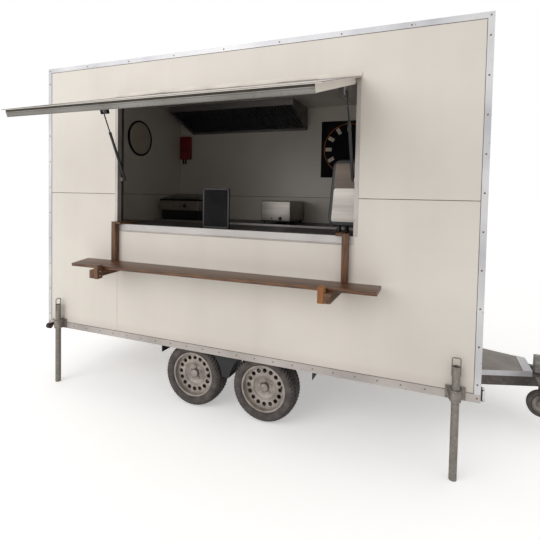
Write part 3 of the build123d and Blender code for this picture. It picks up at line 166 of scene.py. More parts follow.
def linear(code):
    """Turn an sRGB hex colour into the linear RGBA that shader sockets take; a linear one passes through."""
    if not isinstance(code, str):
        return tuple(code)
    parts = np.array([int(code[start:start + 2], 16) for start in (1, 3, 5)]) / 255
    values = np.where(parts <= 0.04045, parts / 12.92, ((parts + 0.055) / 1.055) ** 2.4)
    return (*values, 1.0)


# Shapes: each is (points, groups of faces)


def outward(points, faces):
    """Turn every face over when the volume that the faces close comes out negative."""
    volume = 0.0
    for group in faces:
        corners = points[group]
        fan = np.cross(corners[:, 1:-1], corners[:, 2:])
        volume += np.sum(corners[:, :1] * fan)
    return points, [group[:, ::-1] if volume < 0 else group for group in faces]


def quads(rows, columns, closed_rows=False):
    """Quads between neighbours on a grid whose columns close round, and its rows too where asked."""
    row = np.arange(rows if closed_rows else rows - 1)[:, None]
    column = np.arange(columns)[None, :]
    here, after, right = row * columns, (row + 1) % rows * columns, (column + 1) % columns
    corners = (here + column, here + right, after + right, after + column)
    return np.stack(corners, -1).reshape(-1, 4)


def tube(grid):
    """A closed shell on a grid of points: each row is a ring, the rings are joined, both ends are flat."""
    rows, columns = grid.shape[:2]
    ring = np.arange(columns)
    faces = [quads(rows, columns), ring[None, ::-1], ring[None] + (rows - 1) * columns]
    return outward(grid.reshape(-1, 3), faces)


def hoop(grid):
    """A closed shell on a grid of points that closes round both ways."""
    return outward(grid.reshape(-1, 3), [quads(*grid.shape[:2], closed_rows=True)])


def turned(profile, steps, make=tube):
    """Carry a profile of (radius, height) round Z: x = radius cos, y = radius sin of the angle."""
    angle = np.linspace(0, 2 * np.pi, steps, endpoint=False)
    radius, height = np.array(profile, float).T[:, :, None]
    grid = np.stack((radius * np.cos(angle), radius * np.sin(angle), height + 0 * angle), -1)
    return make(grid)


def placed(shape, at, along=Z, beside=None):
    """Turn a shape's own Z to a direction, its X as near to another as it can be, and move it to a place."""
    points, faces = shape
    axis = np.array(along, float) / np.linalg.norm(along)
    guide = np.array(beside if beside is not None else (X if abs(axis[0]) < 0.9 else Y), float)
    side = guide - axis * (guide @ axis)
    side /= np.linalg.norm(side)
    return points @ np.stack((side, np.cross(axis, side), axis)) + np.array(at, float), faces


def spread(shape, places):
    """Copy one shape to many places as one shape."""
    points, faces = shape
    places = np.array(places, float)
    shift = np.arange(len(places))[:, None, None] * len(points)
    copies = (points[None] + places[:, None]).reshape(-1, 3)
    return copies, [(group[None] + shift).reshape(-1, group.shape[1]) for group in faces]


def joined(*shapes):
    """Several shapes as one."""
    starts = np.cumsum([0] + [len(points) for points, _ in shapes])
    faces = [group + start for (_, groups), start in zip(shapes, starts) for group in groups]
    return np.concatenate([points for points, _ in shapes]), faces


def round_corners(steps):
    """Signs across and up, cosines and sines at the points round a rectangle's four rounded corners."""
    angle = (np.arange(4)[:, None] * np.pi / 2 + np.linspace(0, np.pi / 2, steps)).ravel()
    signs = np.repeat(np.array(((1, 1), (-1, 1), (-1, -1), (1, -1)), float), steps, axis=0)
    return signs[:, 0], signs[:, 1], np.cos(angle), np.sin(angle)


def rounded_box(low, high, corner, axis=0, steps=4, edge=None):
    """A box with rounded edges: a rounded rectangle carried along one axis.

    At each end the outline draws in by a quarter circle: distance along is r(1 - cos), inset r(1 - sin).
    """
    edge = corner if edge is None else edge
    low, high = np.array(low, float), np.array(high, float)
    centre, half = (low + high) / 2, (high - low) / 2
    quarter = np.linspace(0.08, np.pi / 2, steps)
    run, inset = edge * (1 - np.cos(quarter)), edge * (1 - np.sin(quarter))
    along = np.concatenate((run - half[axis], half[axis] - run[::-1]))
    reach = corner - np.concatenate((inset, inset[::-1]))
    side, up, cos, sin = round_corners(steps)
    first, second = (axis + 1) % 3, (axis + 2) % 3
    grid = np.zeros((len(along), len(cos), 3))
    grid[..., axis] = along[:, None]
    grid[..., first] = side * (half[first] - corner) + reach[:, None] * cos
    grid[..., second] = up * (half[second] - corner) + reach[:, None] * sin
    return tube(grid + centre)


def carried(outline, path, up=Z):
    """Carry a closed outline of (side, rise) along a path, each ring square to the path there."""
    path = np.array(path, float)
    forward = np.gradient(path, axis=0)
    forward /= np.linalg.norm(forward, axis=1, keepdims=True)
    side = np.cross(forward, np.array(up, float))
    side /= np.linalg.norm(side, axis=1, keepdims=True)
    rise = np.cross(side, forward)
    outline = np.array(outline, float)
    grid = path[:, None] + side[:, None] * outline[None, :, :1] + rise[:, None] * outline[None, :, 1:]
    return tube(grid)


def circle(radius, steps=16):
    """Points of a circle on (side, rise)."""
    angle = np.linspace(0, 2 * np.pi, steps, endpoint=False)
    return np.stack((radius * np.cos(angle), radius * np.sin(angle)), -1)


def dome(radius, height):
    """A rivet head: radius r cos t and height h sin t, with a short neck under it that sits in the metal."""
    t = np.linspace(0, 1.35, 4)
    profile = np.stack((radius * np.cos(t), height * np.sin(t)), -1)
    return turned(np.vstack(((radius, -1.0), profile)), 12)


def bolt(across, height):
    """A hexagon bolt head on a washer, its top edge drawn in as a turned chamfer."""
    radius = across / math.sqrt(3)
    washer = turned(((radius * 1.25, -1), (radius * 1.25, 1.6), (radius * 1.15, 2.2)), 18)
    profile = ((radius, 2), (radius, height - 1.5), (radius * 0.86, height), (radius * 0.4, height + 0.3))
    return joined(washer, turned(profile, 6))


def tapered(shape, base, top, share):
    """Draw a shape in along X as it rises: its width falls by a share between two heights."""
    points, faces = shape
    middle = (points[:, 0].min() + points[:, 0].max()) / 2
    scale = 1 - share * (points[:, 2] - base) / (top - base)
    return np.column_stack((middle + (points[:, 0] - middle) * scale, points[:, 1:])), faces


def opened(shape):
    """Turn a shape on the shut hatch about the hinge's line to where it stands open.

    Across becomes across cos + rise sin, and rise becomes rise cos - across sin, both from the hinge.
    """
    points, faces = shape
    along, across, rise = (points - HINGE).T
    cos, sin = math.cos(HATCH_OPEN), math.sin(HATCH_OPEN)
    turned_points = np.column_stack((along, across * cos + rise * sin, rise * cos - across * sin))
    return turned_points + HINGE, faces


def superellipse(angle, width, height, power):
    """Points of a superellipse: a half size times the cosine or sine to the power 2 / n, with its sign."""
    wave = np.stack((np.cos(angle), np.sin(angle)))
    first, second = np.sign(wave) * np.abs(wave) ** (2 / power)
    return width * first, height * second


def row_of(start, end, pitch):
    """Places from one point to another, evenly spread at about a pitch."""
    start, end = np.array(start, float), np.array(end, float)
    count = max(int(round(np.linalg.norm(end - start) / pitch)), 1) + 1
    return start + np.linspace(0, 1, count)[:, None] * (end - start)


def on_hub(shape, hub):
    """Put a shape about Z on a road wheel's axis, with its Z outward."""
    return placed(shape, hub, np.sign(hub[1]) * Y)


def facing(shape, out):
    """Turn a shape's Z outward where it stands, before it is spread."""
    return placed(shape, (0, 0, 0), out)


def piece(name, shape, finish, body="trailer", smooth=40, shade=None):
    """Put a shape into a mesh object at the origin, give it its finish and let it ride on a CAD body.

    A shade from 0 to 1 at each point goes into an attribute that the finish can read.
    """
    points, faces = shape
    mesh = bpy.data.meshes.new(name)
    mesh.from_pydata((points - BALL) * MM, [], [face for group in faces for face in group.tolist()])
    mesh.materials.append(FINISH[finish])
    mesh.shade_smooth()
    mesh.set_sharp_from_angle(angle=math.radians(smooth))
    if shade is not None:
        mesh.attributes.new("shade", "FLOAT", "POINT").data.foreach_set("value", shade.ravel())
    thing = bpy.data.objects.new(name, mesh)
    bpy.context.scene.collection.objects.link(thing)
    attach(thing, body)
    return thing


# Finishes: colours are sRGB hex, sizes millimetres


def node(tree, kind, values=(), links=(), **settings):
    """Add one shader node: settings are its properties, values its sockets, links what feeds the others."""
    made = tree.nodes.new("ShaderNode" + kind)
    for key, value in settings.items():
        setattr(made, key, value)
    for key, value in dict(values).items():
        made.inputs[key].default_value = value
    for key, source in dict(links).items():
        tree.links.new(source, made.inputs[key])
    return made


def begin(name, **sockets):
    """A new material with one shader, whose sockets that are the same all over are set here."""
    material = bpy.data.materials.new(name)
    material.use_nodes = True
    tree = material.node_tree
    tree.nodes.clear()
    names = {key: key.replace("_", " ").title().replace("Ior", "IOR") for key in sockets}
    shader = node(tree, "BsdfPrincipled", {names[key]: value for key, value in sockets.items()})
    node(tree, "OutputMaterial", links={"Surface": shader.outputs[0]})
    place = node(tree, "TexCoord").outputs["Object"]
    return material, tree, shader, place


def per_metre(size_mm):
    """Texture scale whose features are about this many millimetres across."""
    return 1000.0 / size_mm


def noise(tree, place, size_mm, detail=2.0, stretch=(1, 1, 1)):
    """A cloudy field of a real size, drawn out along an axis where its stretch is below 1."""
    run = node(tree, "Mapping", {"Scale": stretch}, {"Vector": place})
    scale = per_metre(size_mm)
    cloud = node(tree, "TexNoise", {"Scale": scale, "Detail": detail}, {"Vector": run.outputs[0]})
    return cloud.outputs["Fac"]


def ramp(tree, field, dark, pale, span=(0, 1)):
    """Colours from dark to pale as a field runs over a span."""
    made = node(tree, "ValToRGB", links={"Fac": field})
    for stop, at, colour in zip(made.color_ramp.elements, span, (dark, pale)):
        stop.position, stop.color = at, linear(colour)
    return made.outputs["Color"]


def patchy(tree, place, size_mm, dark, pale, stretch=(1, 1, 1), detail=4.0, span=(0.35, 0.65)):
    """A cloudy field between two colours; gives the colour and the field."""
    field = noise(tree, place, size_mm, detail, stretch)
    return ramp(tree, field, dark, pale, span), field


def mix(tree, factor, first, second, blend="MIX"):
    """One colour out of two by a factor, each of the three a socket or a constant."""
    given = {0: factor, 6: first, 7: second}
    links = {key: value for key, value in given.items() if isinstance(value, bpy.types.NodeSocket)}
    values = {key: value for key, value in given.items() if key not in links}
    return node(tree, "Mix", values, links, data_type="RGBA", blend_type=blend).outputs[2]


def paint(tree, shader, colour, field, low, high):
    """Give the shader its colour, and let a field run its roughness between two values."""
    tree.links.new(colour, shader.inputs["Base Color"])
    span = node(tree, "MapRange", {"To Min": low, "To Max": high}, {"Value": field})
    tree.links.new(span.outputs[0], shader.inputs["Roughness"])


def emboss(tree, shader, field, depth_mm, strength=1.0):
    """Let a field raise the surface by a real depth."""
    lift = node(tree, "Bump", {"Strength": strength, "Distance": depth_mm * MM}, {"Height": field})
    tree.links.new(lift.outputs[0], shader.inputs["Normal"])


def clouded(name, dark, pale, size_mm, roughness, depth_mm, grit_mm, stretch=(1, 1, 1), **sockets):
    """A finish whose colour and gloss drift in patches, with a fine grit that breaks up its highlights."""
    material, tree, shader, place = begin(name, **sockets)
    paint(tree, shader, *patchy(tree, place, size_mm, dark, pale, stretch), *roughness)
    emboss(tree, shader, noise(tree, place, grit_mm, 3.0, stretch), depth_mm)
    return material


def gel_coat(name, colour, dull, grime):
    """Polyester gel coat off a polished mould: smooth cream with a broad sheen, faint waves from the core
    behind it, thin streaks where rain ran down and a film of road dirt that thickens towards the floor."""
    material, tree, shader, place = begin(name, ior=1.52, coat_weight=0.15, coat_roughness=0.25)
    tint, field = patchy(tree, place, 1100, dull, colour, span=(0.3, 0.6))
    streak, _ = patchy(tree, place, 190, "#ffffff", grime, (1, 1, 0.04), 2, (0.4, 0.9))
    streaked = mix(tree, 0.07, tint, streak, "MULTIPLY")
    height = node(tree, "SeparateXYZ", links={"Vector": place}).outputs["Z"]
    low = node(tree, "MapRange", {"From Min": 0.16, "From Max": 0.03, "To Max": 0.3}, {"Value": height})
    dirty = mix(tree, low.outputs[0], streaked, linear(grime), "MULTIPLY")
    paint(tree, shader, dirty, field, 0.32, 0.45)
    emboss(tree, shader, noise(tree, place, 160), 1.2, 0.35)
    return material


def aluminium(name, dark, pale, stain, stain_span):
    """Mill-finish aluminium extrusion left outdoors: an even satin under a thin white oxide bloom in broad
    clouds, with small brown spots where steel screws weep."""
    material, tree, shader, place = begin(name, metallic=0.55)
    colour, field = patchy(tree, place, 420, dark, pale, detail=3)
    spots, _ = patchy(tree, place, 16, "#ffffff", stain, detail=3, span=stain_span)
    paint(tree, shader, mix(tree, 0.6, colour, spots, "MULTIPLY"), field, 0.4, 0.56)
    emboss(tree, shader, noise(tree, place, 6, 4.0), 0.1, 0.4)
    return material


def galvanised(name, dark, pale):
    """Hot-dip galvanised steel gone dull: zinc crystals about two centimetres across, each its own grey."""
    material, tree, shader, place = begin(name, metallic=0.7)
    spangle = node(tree, "TexVoronoi", {"Scale": per_metre(16)}, {"Vector": place}, feature="F1").outputs
    paint(tree, shader, ramp(tree, spangle["Color"], dark, pale), spangle["Distance"], 0.45, 0.65)
    emboss(tree, shader, noise(tree, place, 4, 4.0), 0.3, 0.6)
    return material


def stained_wood(name, axis, dark, pale, knot, gloss=(0.42, 0.7)):
    """Sawn softwood under dark oil stain: long fibres and growth lines that run with the board, darker
    knots, a low sheen where the oil pooled."""
    material, tree, shader, place = begin(name, ior=1.5)
    fibre, grown = ([0.06 if each == axis else across for each in range(3)] for across in (1.0, 1.4))
    colour, field = patchy(tree, place, 9, dark, pale, fibre, 6, (0.36, 0.66))
    knots, _ = patchy(tree, place, 55, knot, "#ffffff", grown, 2, (0.3, 0.5))
    paint(tree, shader, mix(tree, 0.7, colour, knots, "MULTIPLY"), field, *gloss)
    emboss(tree, shader, field, 0.8, 0.7)
    return material


def banded(name, axis, at, inner, outer, **sockets):
    """A casting and the rubber fitted on it as one: the finish changes at two places along one axis."""
    material, tree, shader, place = begin(name, **sockets)
    along = node(tree, "SeparateXYZ", links={"Vector": place}).outputs[axis]
    after = node(tree, "Math", {1: at[0]}, {0: along}, operation="GREATER_THAN").outputs[0]
    before = node(tree, "Math", {1: at[1]}, {0: along}, operation="LESS_THAN").outputs[0]
    inside = node(tree, "Math", links={0: after, 1: before}, operation="MULTIPLY").outputs[0]
    metal, field = patchy(tree, place, 30, *outer)
    rubber, _ = patchy(tree, place, 30, *inner)
    paint(tree, shader, mix(tree, inside, metal, rubber), field, 0.5, 0.7)
    emboss(tree, shader, noise(tree, place, 3), 0.3, 0.7)
    return material


def tyre_rubber(name, dust, tread):
    """Vulcanised rubber with road dust rubbed into it: no gloss, a brown-grey bloom on the sidewalls and the
    blocks' tops, and near black in the tread's grooves: painted shade, as deep as the mesh marks it."""
    material, tree, shader, place = begin(name, ior=1.5)
    bloom, field = patchy(tree, place, 60, *dust)
    # Painted shade: the deeper a point lies in the tread, the nearer it comes to the grooves' near black.
    depth = node(tree, "Attribute", attribute_name="shade").outputs["Fac"]
    paint(tree, shader, mix(tree, depth, bloom, linear(tread)), field, 0.75, 0.92)
    emboss(tree, shader, noise(tree, place, 3), 0.4)
    return material


def deck_ply(name):
    """Film-faced birch ply, its phenolic film pressed with a wire mesh and worn grey: a fine square net of
    pits, drawn at 9 mm so that it shows, over patches of silt."""
    material, tree, shader, place = begin(name, ior=1.5)
    paint(tree, shader, *patchy(tree, place, 260, "#8b8580", "#a39d97", detail=5), 0.6, 0.85)
    net = node(tree, "TexVoronoi", {"Scale": per_metre(9), "Randomness": 0.0}, {"Vector": place})
    emboss(tree, shader, net.outputs["Distance"], 0.8, 0.6)
    return material


def lens(name, dark, pale):
    """Moulded acrylic lamp lens: clear coloured plastic with a fluted back that scatters the light in it."""
    material, tree, shader, place = begin(
        name, ior=1.49, coat_weight=0.4, coat_roughness=0.08, transmission_weight=0.15)
    paint(tree, shader, *patchy(tree, place, 40, dark, pale), 0.12, 0.28)
    flutes = node(tree, "TexWave", {"Scale": per_metre(5) / 20}, {"Vector": place}, bands_direction="Y")
    emboss(tree, shader, flutes.outputs["Fac"], 0.5, 0.6)
    return material


def all_finishes(looks):
    """Every finish on the trailer by its short name."""
    stain = looks.grain, looks.wood, "#8a6a58"
    return {
        "panel": gel_coat("cream_gel_coat_panel", looks.panel, "#d2cbc2", "#a2978a"),
        # Melamine paper pressed on board: a pale, even satin with hardly any texture.
        "lining": clouded("pale_melamine_lining", "#b5a99b", "#c4b9ab", 400, (0.4, 0.55), 0.1, 3, ior=1.5),
        "trim": aluminium("mill_aluminium_trim", "#b5b4b8", "#cfcecf", "#8a6a4c", (0.68, 0.78)),
        "sill": aluminium("bright_aluminium_sill", "#a8a4a1", "#bab6b3", "#b3a797", (0.7, 0.85)),
        "rail": aluminium("weathered_aluminium_rail", "#a39c97", "#b8b1ac", "#7c6a58", (0.64, 0.8)),
        "channel": aluminium("dull_aluminium_channel", "#6d6a65", "#888480", "#57524a", (0.6, 0.8)),
        "zinc": galvanised("galvanised_steel", "#77726b", "#8f8982"),
        "rusty": galvanised("old_galvanised_steel", "#6b655f", "#857e77"),
        # Galvanised steel darkened to brown-grey: painted shade on the drawbar's arms.
        "beam": galvanised("galvanised_beam_painted_shade", "#544e4b", "#67615d"),
        "wood_x": stained_wood("stained_pine_plank", 0, *stain, (0.26, 0.5)),
        "wood_y": stained_wood("stained_pine_arm", 1, *stain),
        "wood_z": stained_wood("stained_pine_post", 2, *stain),
        "deck": deck_ply("film_faced_ply"),
        # Raw unstained pine, bright orange: partly its own colour, partly painted sunlight.
        "raw_wood_and_sunlight": stained_wood("raw_pine_and_painted_sunlight", 2, "#8d5b2b", "#b57f45", "#c9a27a"),
        # Near black in the tread's grooves: painted shade.
        "tyre": tyre_rubber("dusty_tyre_rubber", ("#403b39", "#5b5551"), "#1d1b1a"),
        # Silver enamel on pressed steel, sprayed thin: a satin grey dulled by brake dust in the hollows.
        "rim": clouded("silver_wheel_enamel", "#8a827b", "#aca39a", 70, (0.4, 0.6), 0.15, 4, metallic=0.3),
        # Stove-enamelled tube: an even gloss black with a little orange peel.
        "black": clouded("black_stove_enamel", "#0f0f10", "#1b1b1c", 80, (0.38, 0.5), 0.08, 4, ior=1.5),
        # Ground and nitrided rod: near black, with a tight dark gloss.
        "rod": clouded("nitrided_rod", "#171718", "#29292b", 30, (0.2, 0.3), 0.02, 2, metallic=0.6),
        # Moulded polypropylene: greyed black with a leathery texture from the mould.
        "guard": clouded("moulded_polypropylene", "#121213", "#1f1f20", 120, (0.55, 0.7), 0.3, 5, ior=1.49),
        # Extruded sealing rubber: matt, slightly dusty black.
        "seal": clouded("sealing_rubber", "#1c1b1a", "#34312e", 40, (0.7, 0.85), 0.2, 3, ior=1.5),
        # Polyurethane joint sealant tooled by hand: a dark grey-brown line.
        "sealant": clouded("joint_sealant", "#4f4841", "#736a60", 60, (0.6, 0.8), 0.3, 6, ior=1.5),
        # The same sealant painted over: a line a shade darker than the panel.
        "seam": clouded("painted_seam", "#b9b0a5", "#cbc3b8", 90, (0.4, 0.5), 0.2, 8, ior=1.5),
        # Foam gasket gone brown-black in the weather: no shine at all.
        # Dead matt brown-black: painted shadow in the hatch edge's recess and behind the wheels' vents.
        "shade_black": clouded("matt_brown_black_shade", "#2b261e", "#3f392f", 90, (0.8, 0.9), 0.4, 5, ior=1.5),
        # Plasticised vinyl strip: cream, soft at the edges, with a low sheen.
        "vinyl": clouded("cream_vinyl_strip", "#d5cdc2", "#e6dfd4", 180, (0.4, 0.55), 0.2, 12, ior=1.53),
        # Brushed stainless sheet: long fine lines across the panel that smear each highlight.
        "steel": clouded("brushed_stainless", "#8f8a85", "#aaa49e", 50, (0.32, 0.48), 0.05, 2, (0.04, 1, 1),
                         metallic=0.8),
        # Stainless sheet under a brown tint: the same brushing, darker and duller.
        "smoked": clouded("tinted_stainless", "#574c43", "#6a5e54", 60, (0.35, 0.5), 0.05, 2, (0.04, 1, 1),
                          metallic=0.4),
        # Stainless sheet under a film of grease: darker and duller in the hood.
        "greasy": clouded("greasy_stainless", "#6a6765", "#878481", 90, (0.4, 0.6), 0.08, 3, (0.1, 1, 1),
                          metallic=0.4),
        # Pressed filter steel under burnt grease: blue-black slats with a dull shine on their crowns.
        "filter": clouded("burnt_filter_steel", "#23262a", "#3a3e44", 60, (0.4, 0.6), 0.1, 3, metallic=0.6),
        # Hot-rolled griddle plate: blue-black scale with a burnt-in sheen.
        "plate": clouded("griddle_plate", "#1b1b1d", "#3a3836", 70, (0.35, 0.6), 0.2, 4, metallic=0.8),
        # High-pressure laminate: fine stippled black with pale wear.
        "laminate": clouded("black_laminate", "#1c1b1c", "#262525", 300, (0.35, 0.45), 0.04, 2, ior=1.5),
        # White melamine-faced board: a bright, even satin.
        "carcass": clouded("white_melamine_carcass", "#cfcac1", "#dcd8d0", 250, (0.4, 0.5), 0.05, 2,
                           ior=1.5),
        # Gloss enamel on a pressed steel case: strong red, slightly faded at the top.
        "red": clouded("red_enamel_case", "#75121b", "#931a24", 120, (0.25, 0.38), 0.06, 5, ior=1.5),
        # Blackboard paint on hardboard: dead matt with the ghost of wiped chalk.
        "slate": clouded("blackboard_paint", "#0d0d0e", "#19191b", 110, (0.8, 0.92), 0.2, 2, ior=1.5,
                         specular_ior_level=0.2),
        # Printed card under clear film: flat ivory with an even sheen.
        "ivory": clouded("ivory_printed_tab", "#cfc6b4", "#e0d8c8", 40, (0.5, 0.6), 0.05, 2, ior=1.5),
        # Enamel laid with a fine brush: a thin, even satin line.
        "orange": clouded("orange_pinline_paint", "#b4551f", "#d06a2a", 40, (0.4, 0.5), 0.05, 2, ior=1.5),
        # Zinc-plated steel: bright grey heads that catch the light.
        "screw": clouded("zinc_plated_screw", "#a9a9a6", "#d6d5d0", 8, (0.25, 0.4), 0.05, 1, metallic=1.0),
        # Steel heads that the weather has reached: brown rust in patches over dull metal.
        "rusted": clouded("rusted_screw_head", "#5d3f2c", "#9a8a7b", 12, (0.5, 0.75), 0.2, 2, metallic=0.5),
        "clear_lens": lens("clear_lamp_lens", "#d5d8d8", "#eef0f0"),
        "red_lens": lens("red_lamp_lens", "#8f1212", "#b51a18"),
        "amber_lens": lens("amber_lamp_lens", "#b5600f", "#d77a18"),
        # Cast iron and rubber bellows on one shaft: zinc-grey castings either side of matt black folds.
        "coupling": banded("zinc_casting_and_bellows", 0, (-0.413, -0.207), ("#171717", "#2b2a29"),
                           ("#7d7b78", "#a5a29d"), metallic=0.4),
    }


# CAD nodes that stay as they are, by finish
NODE_FINISHES = {
    "panel": (
        "serving_wall_lower", "serving_wall_upper", "far_wall_lower", "far_wall_upper", "rear_wall_lower",
        "rear_wall_upper", "front_wall_lower", "front_wall_upper", "hatch_panel", "door_panel", "roof_panel",
    ),
    "lining": ("floor_panel",),
    "trim": ("edge_trims", "deck_edging", "door_frame"),
    "channel": ("hatch_trim",),
    "sill": ("sill_cap",),
    "rail": ("skirt_rails", "window_frame"),
    "beam": ("drawbar_arms",),
    "zinc": (
        "chassis_rails", "cross_members", "axle_tubes", "jockey_clamp", "jockey_tube",
        "jockey_fork", "leg_clamps", "leg_rear_left", "leg_rear_right", "leg_front_left", "leg_front_right",
    ),
    "rusty": ("swing_arms",),
    "coupling": ("coupling",),
    "black": ("strut_cylinder_rear", "strut_cylinder_front"),
    "rod": ("strut_rod_rear", "strut_rod_front"),
    "steel": ("door_fittings",),
    "rim": ("rim_rear_left", "rim_rear_right", "rim_front_left", "rim_front_right"),
    "guard": ("mudguards", "marker_lamps", "tail_lamps"),
    "deck": ("deck_board",),
    "laminate": ("worktops",),
    "carcass": ("cupboards",),
    "greasy": ("extractor_hood",),
}
FINISH = {}


class TrailerLooks(PropertyGroup):
    """Sizes and colours of the trailer's fittings."""

    panel: FloatVectorProperty(
        name="Panels", description="Colour of the gel coat", default=linear("#dcd5cb"), size=4,
        subtype="COLOR")
    grain: FloatVectorProperty(
        name="Grain", description="Colour of the shelf's stain in the grain", default=linear("#3b2312"),
        size=4, subtype="COLOR")
    wood: FloatVectorProperty(
        name="Wood", description="Colour of the shelf's stain between the grain", default=linear("#7a5230"),
        size=4, subtype="COLOR")
    rivet_pitch: FloatProperty(
        name="Rivet pitch", description="Distance between rivets along the eaves", default=0.44, min=0.1,
        unit="LENGTH")
    corner_pitch: FloatProperty(
        name="Corner pitch", description="Distance between rivets up a corner trim", default=0.24, min=0.1,
        unit="LENGTH")
    rail_pitch: FloatProperty(
        name="Rail pitch", description="Distance between rivets along a skirt rail", default=0.15, min=0.05,
        unit="LENGTH")
    rivet_radius: FloatProperty(
        name="Rivet radius", description="Radius of a rivet's head", default=0.006, min=0.002, unit="LENGTH")
    tread_blocks: IntProperty(
        name="Tread blocks", description="Tread blocks round a tyre", default=54, min=24)
    tread_depth: FloatProperty(
        name="Tread depth", description="Depth of the tread's grooves", default=0.008, min=0.001,
        unit="LENGTH")
    wheel_bolts: IntProperty(name="Wheel bolts", description="Bolts that hold a wheel", default=5, min=3)
    shelf_wane: FloatProperty(
        name="Shelf wane", description="How far the shelf's front edge wanders", default=0.004,
        unit="LENGTH")


class StageLooks(PropertyGroup):
    """Camera and light of the picture."""

    lens_length: FloatProperty(name="Lens", description="Focal length on a 36 mm sensor", default=27.6)
    turn: FloatProperty(
        name="Turn", description="Camera's turn about the upright", default=math.radians(21.8847),
        subtype="ANGLE")
    tilt: FloatProperty(
        name="Tilt", description="Camera's tilt up", default=math.radians(-2.0824), subtype="ANGLE")
    roll: FloatProperty(
        name="Roll", description="Camera's roll", default=math.radians(-1.1325), subtype="ANGLE")
    place: FloatVectorProperty(
        name="Place", description="Camera's place", default=(-1.478, -3.896, 1.287), subtype="TRANSLATION")
    sky: FloatProperty(name="Sky", description="Strength of the soft light all round", default=0.72)
    lamp: FloatProperty(name="Lamp", description="Power of the soft lamp", default=260.0)
    floor: FloatVectorProperty(
        name="Floor", description="Colour of the floor", default=linear("#f3f2f0"), size=4, subtype="COLOR")
    floor_lift: FloatProperty(
        name="Floor lift", description="White that the eye sees on the floor beside its light", default=0.36)


class TRAILER_OT_stage(Operator):
    """Camera at the photograph's view, a pale floor, a white surround and soft studio light"""

    bl_idname = "trailer.stage"
    bl_label = "Stage"

    def execute(self, context):
        scene, stage = context.scene, context.scene.trailer_stage
        scene.view_settings.view_transform = "Standard"
        camera = bpy.data.cameras.new("camera")
        camera.lens, camera.sensor_width = stage.lens_length, SENSOR
        camera.shift_y = PICTURE_SHIFT
        camera.clip_end = 200
        turn = (Matrix.Rotation(stage.turn, 3, "Z") @ Matrix.Rotation(stage.tilt, 3, "X")
                @ Matrix.Rotation(stage.roll, 3, "Y"))
        right, ahead, up = turn.col
        eye = bpy.data.objects.new("camera", camera)
        axes = Matrix((right, up, -ahead)).transposed()
        eye.matrix_world = Matrix.Translation(stage.place) @ axes.to_4x4()
        scene.collection.objects.link(eye)
        scene.camera = eye

        # Matt studio paint, seen a little whiter than it is lit so that its far edge meets the surround.
        material, tree, shader, _ = begin(
            "painted_studio_floor", roughness=0.9, base_color=linear(stage.floor),
            emission_color=(1, 1, 1, 1))
        span = {"To Min": 0.0, "To Max": stage.floor_lift}
        lift = node(tree, "MapRange", span, {"Value": self.seen(tree)})
        tree.links.new(lift.outputs[0], shader.inputs["Emission Strength"])
        bpy.ops.mesh.primitive_plane_add(size=FLOOR_SIZE, location=(-3, 0, CAD_BOX[0][2]))
        floor = context.object
        floor.name = "studio_floor"
        floor.data.materials.append(material)

        world = bpy.data.worlds.new("studio")
        scene.world = world
        world.use_nodes = True
        tree = world.node_tree
        tree.nodes.clear()
        strength = node(tree, "MapRange", {"To Min": stage.sky, "To Max": 1.0}, {"Value": self.seen(tree)})
        light = node(tree, "Background", {"Color": (1, 1, 1, 1)}, {"Strength": strength.outputs[0]})
        node(tree, "OutputWorld", links={"Surface": light.outputs[0]})

        lamp = bpy.data.lights.new("soft_lamp", "AREA")
        lamp.energy, lamp.size = stage.lamp, LAMP_SIZE
        box = bpy.data.objects.new("soft_lamp", lamp)
        box.location = LAMP_PLACE
        aim = LAMP_AIM - box.location
        box.rotation_euler = aim.to_track_quat("-Z", "Y").to_euler()
        scene.collection.objects.link(box)
        return {"FINISHED"}

    @staticmethod
    def seen(tree):
        """1 on rays from the camera and on those that metal or glass sends on, 0 on the rest."""
        ray = node(tree, "LightPath").outputs
        seen = ray["Is Camera Ray"]
        for kind in ("Is Glossy Ray", "Is Transmission Ray"):
            seen = node(tree, "Math", links={0: seen, 1: ray[kind]}, operation="MAXIMUM").outputs[0]
        return seen


class TRAILER_OT_finishes(Operator):
    """Give every CAD node the finish of its real material"""

    bl_idname = "trailer.finishes"
    bl_label = "Finishes"

    def execute(self, context):
        FINISH.update(all_finishes(context.scene.trailer_looks))
        for finish, names in NODE_FINISHES.items():
            for name in names:
                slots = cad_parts[name].data.materials
                slots.clear()
                slots.append(FINISH[finish])
        return {"FINISHED"}


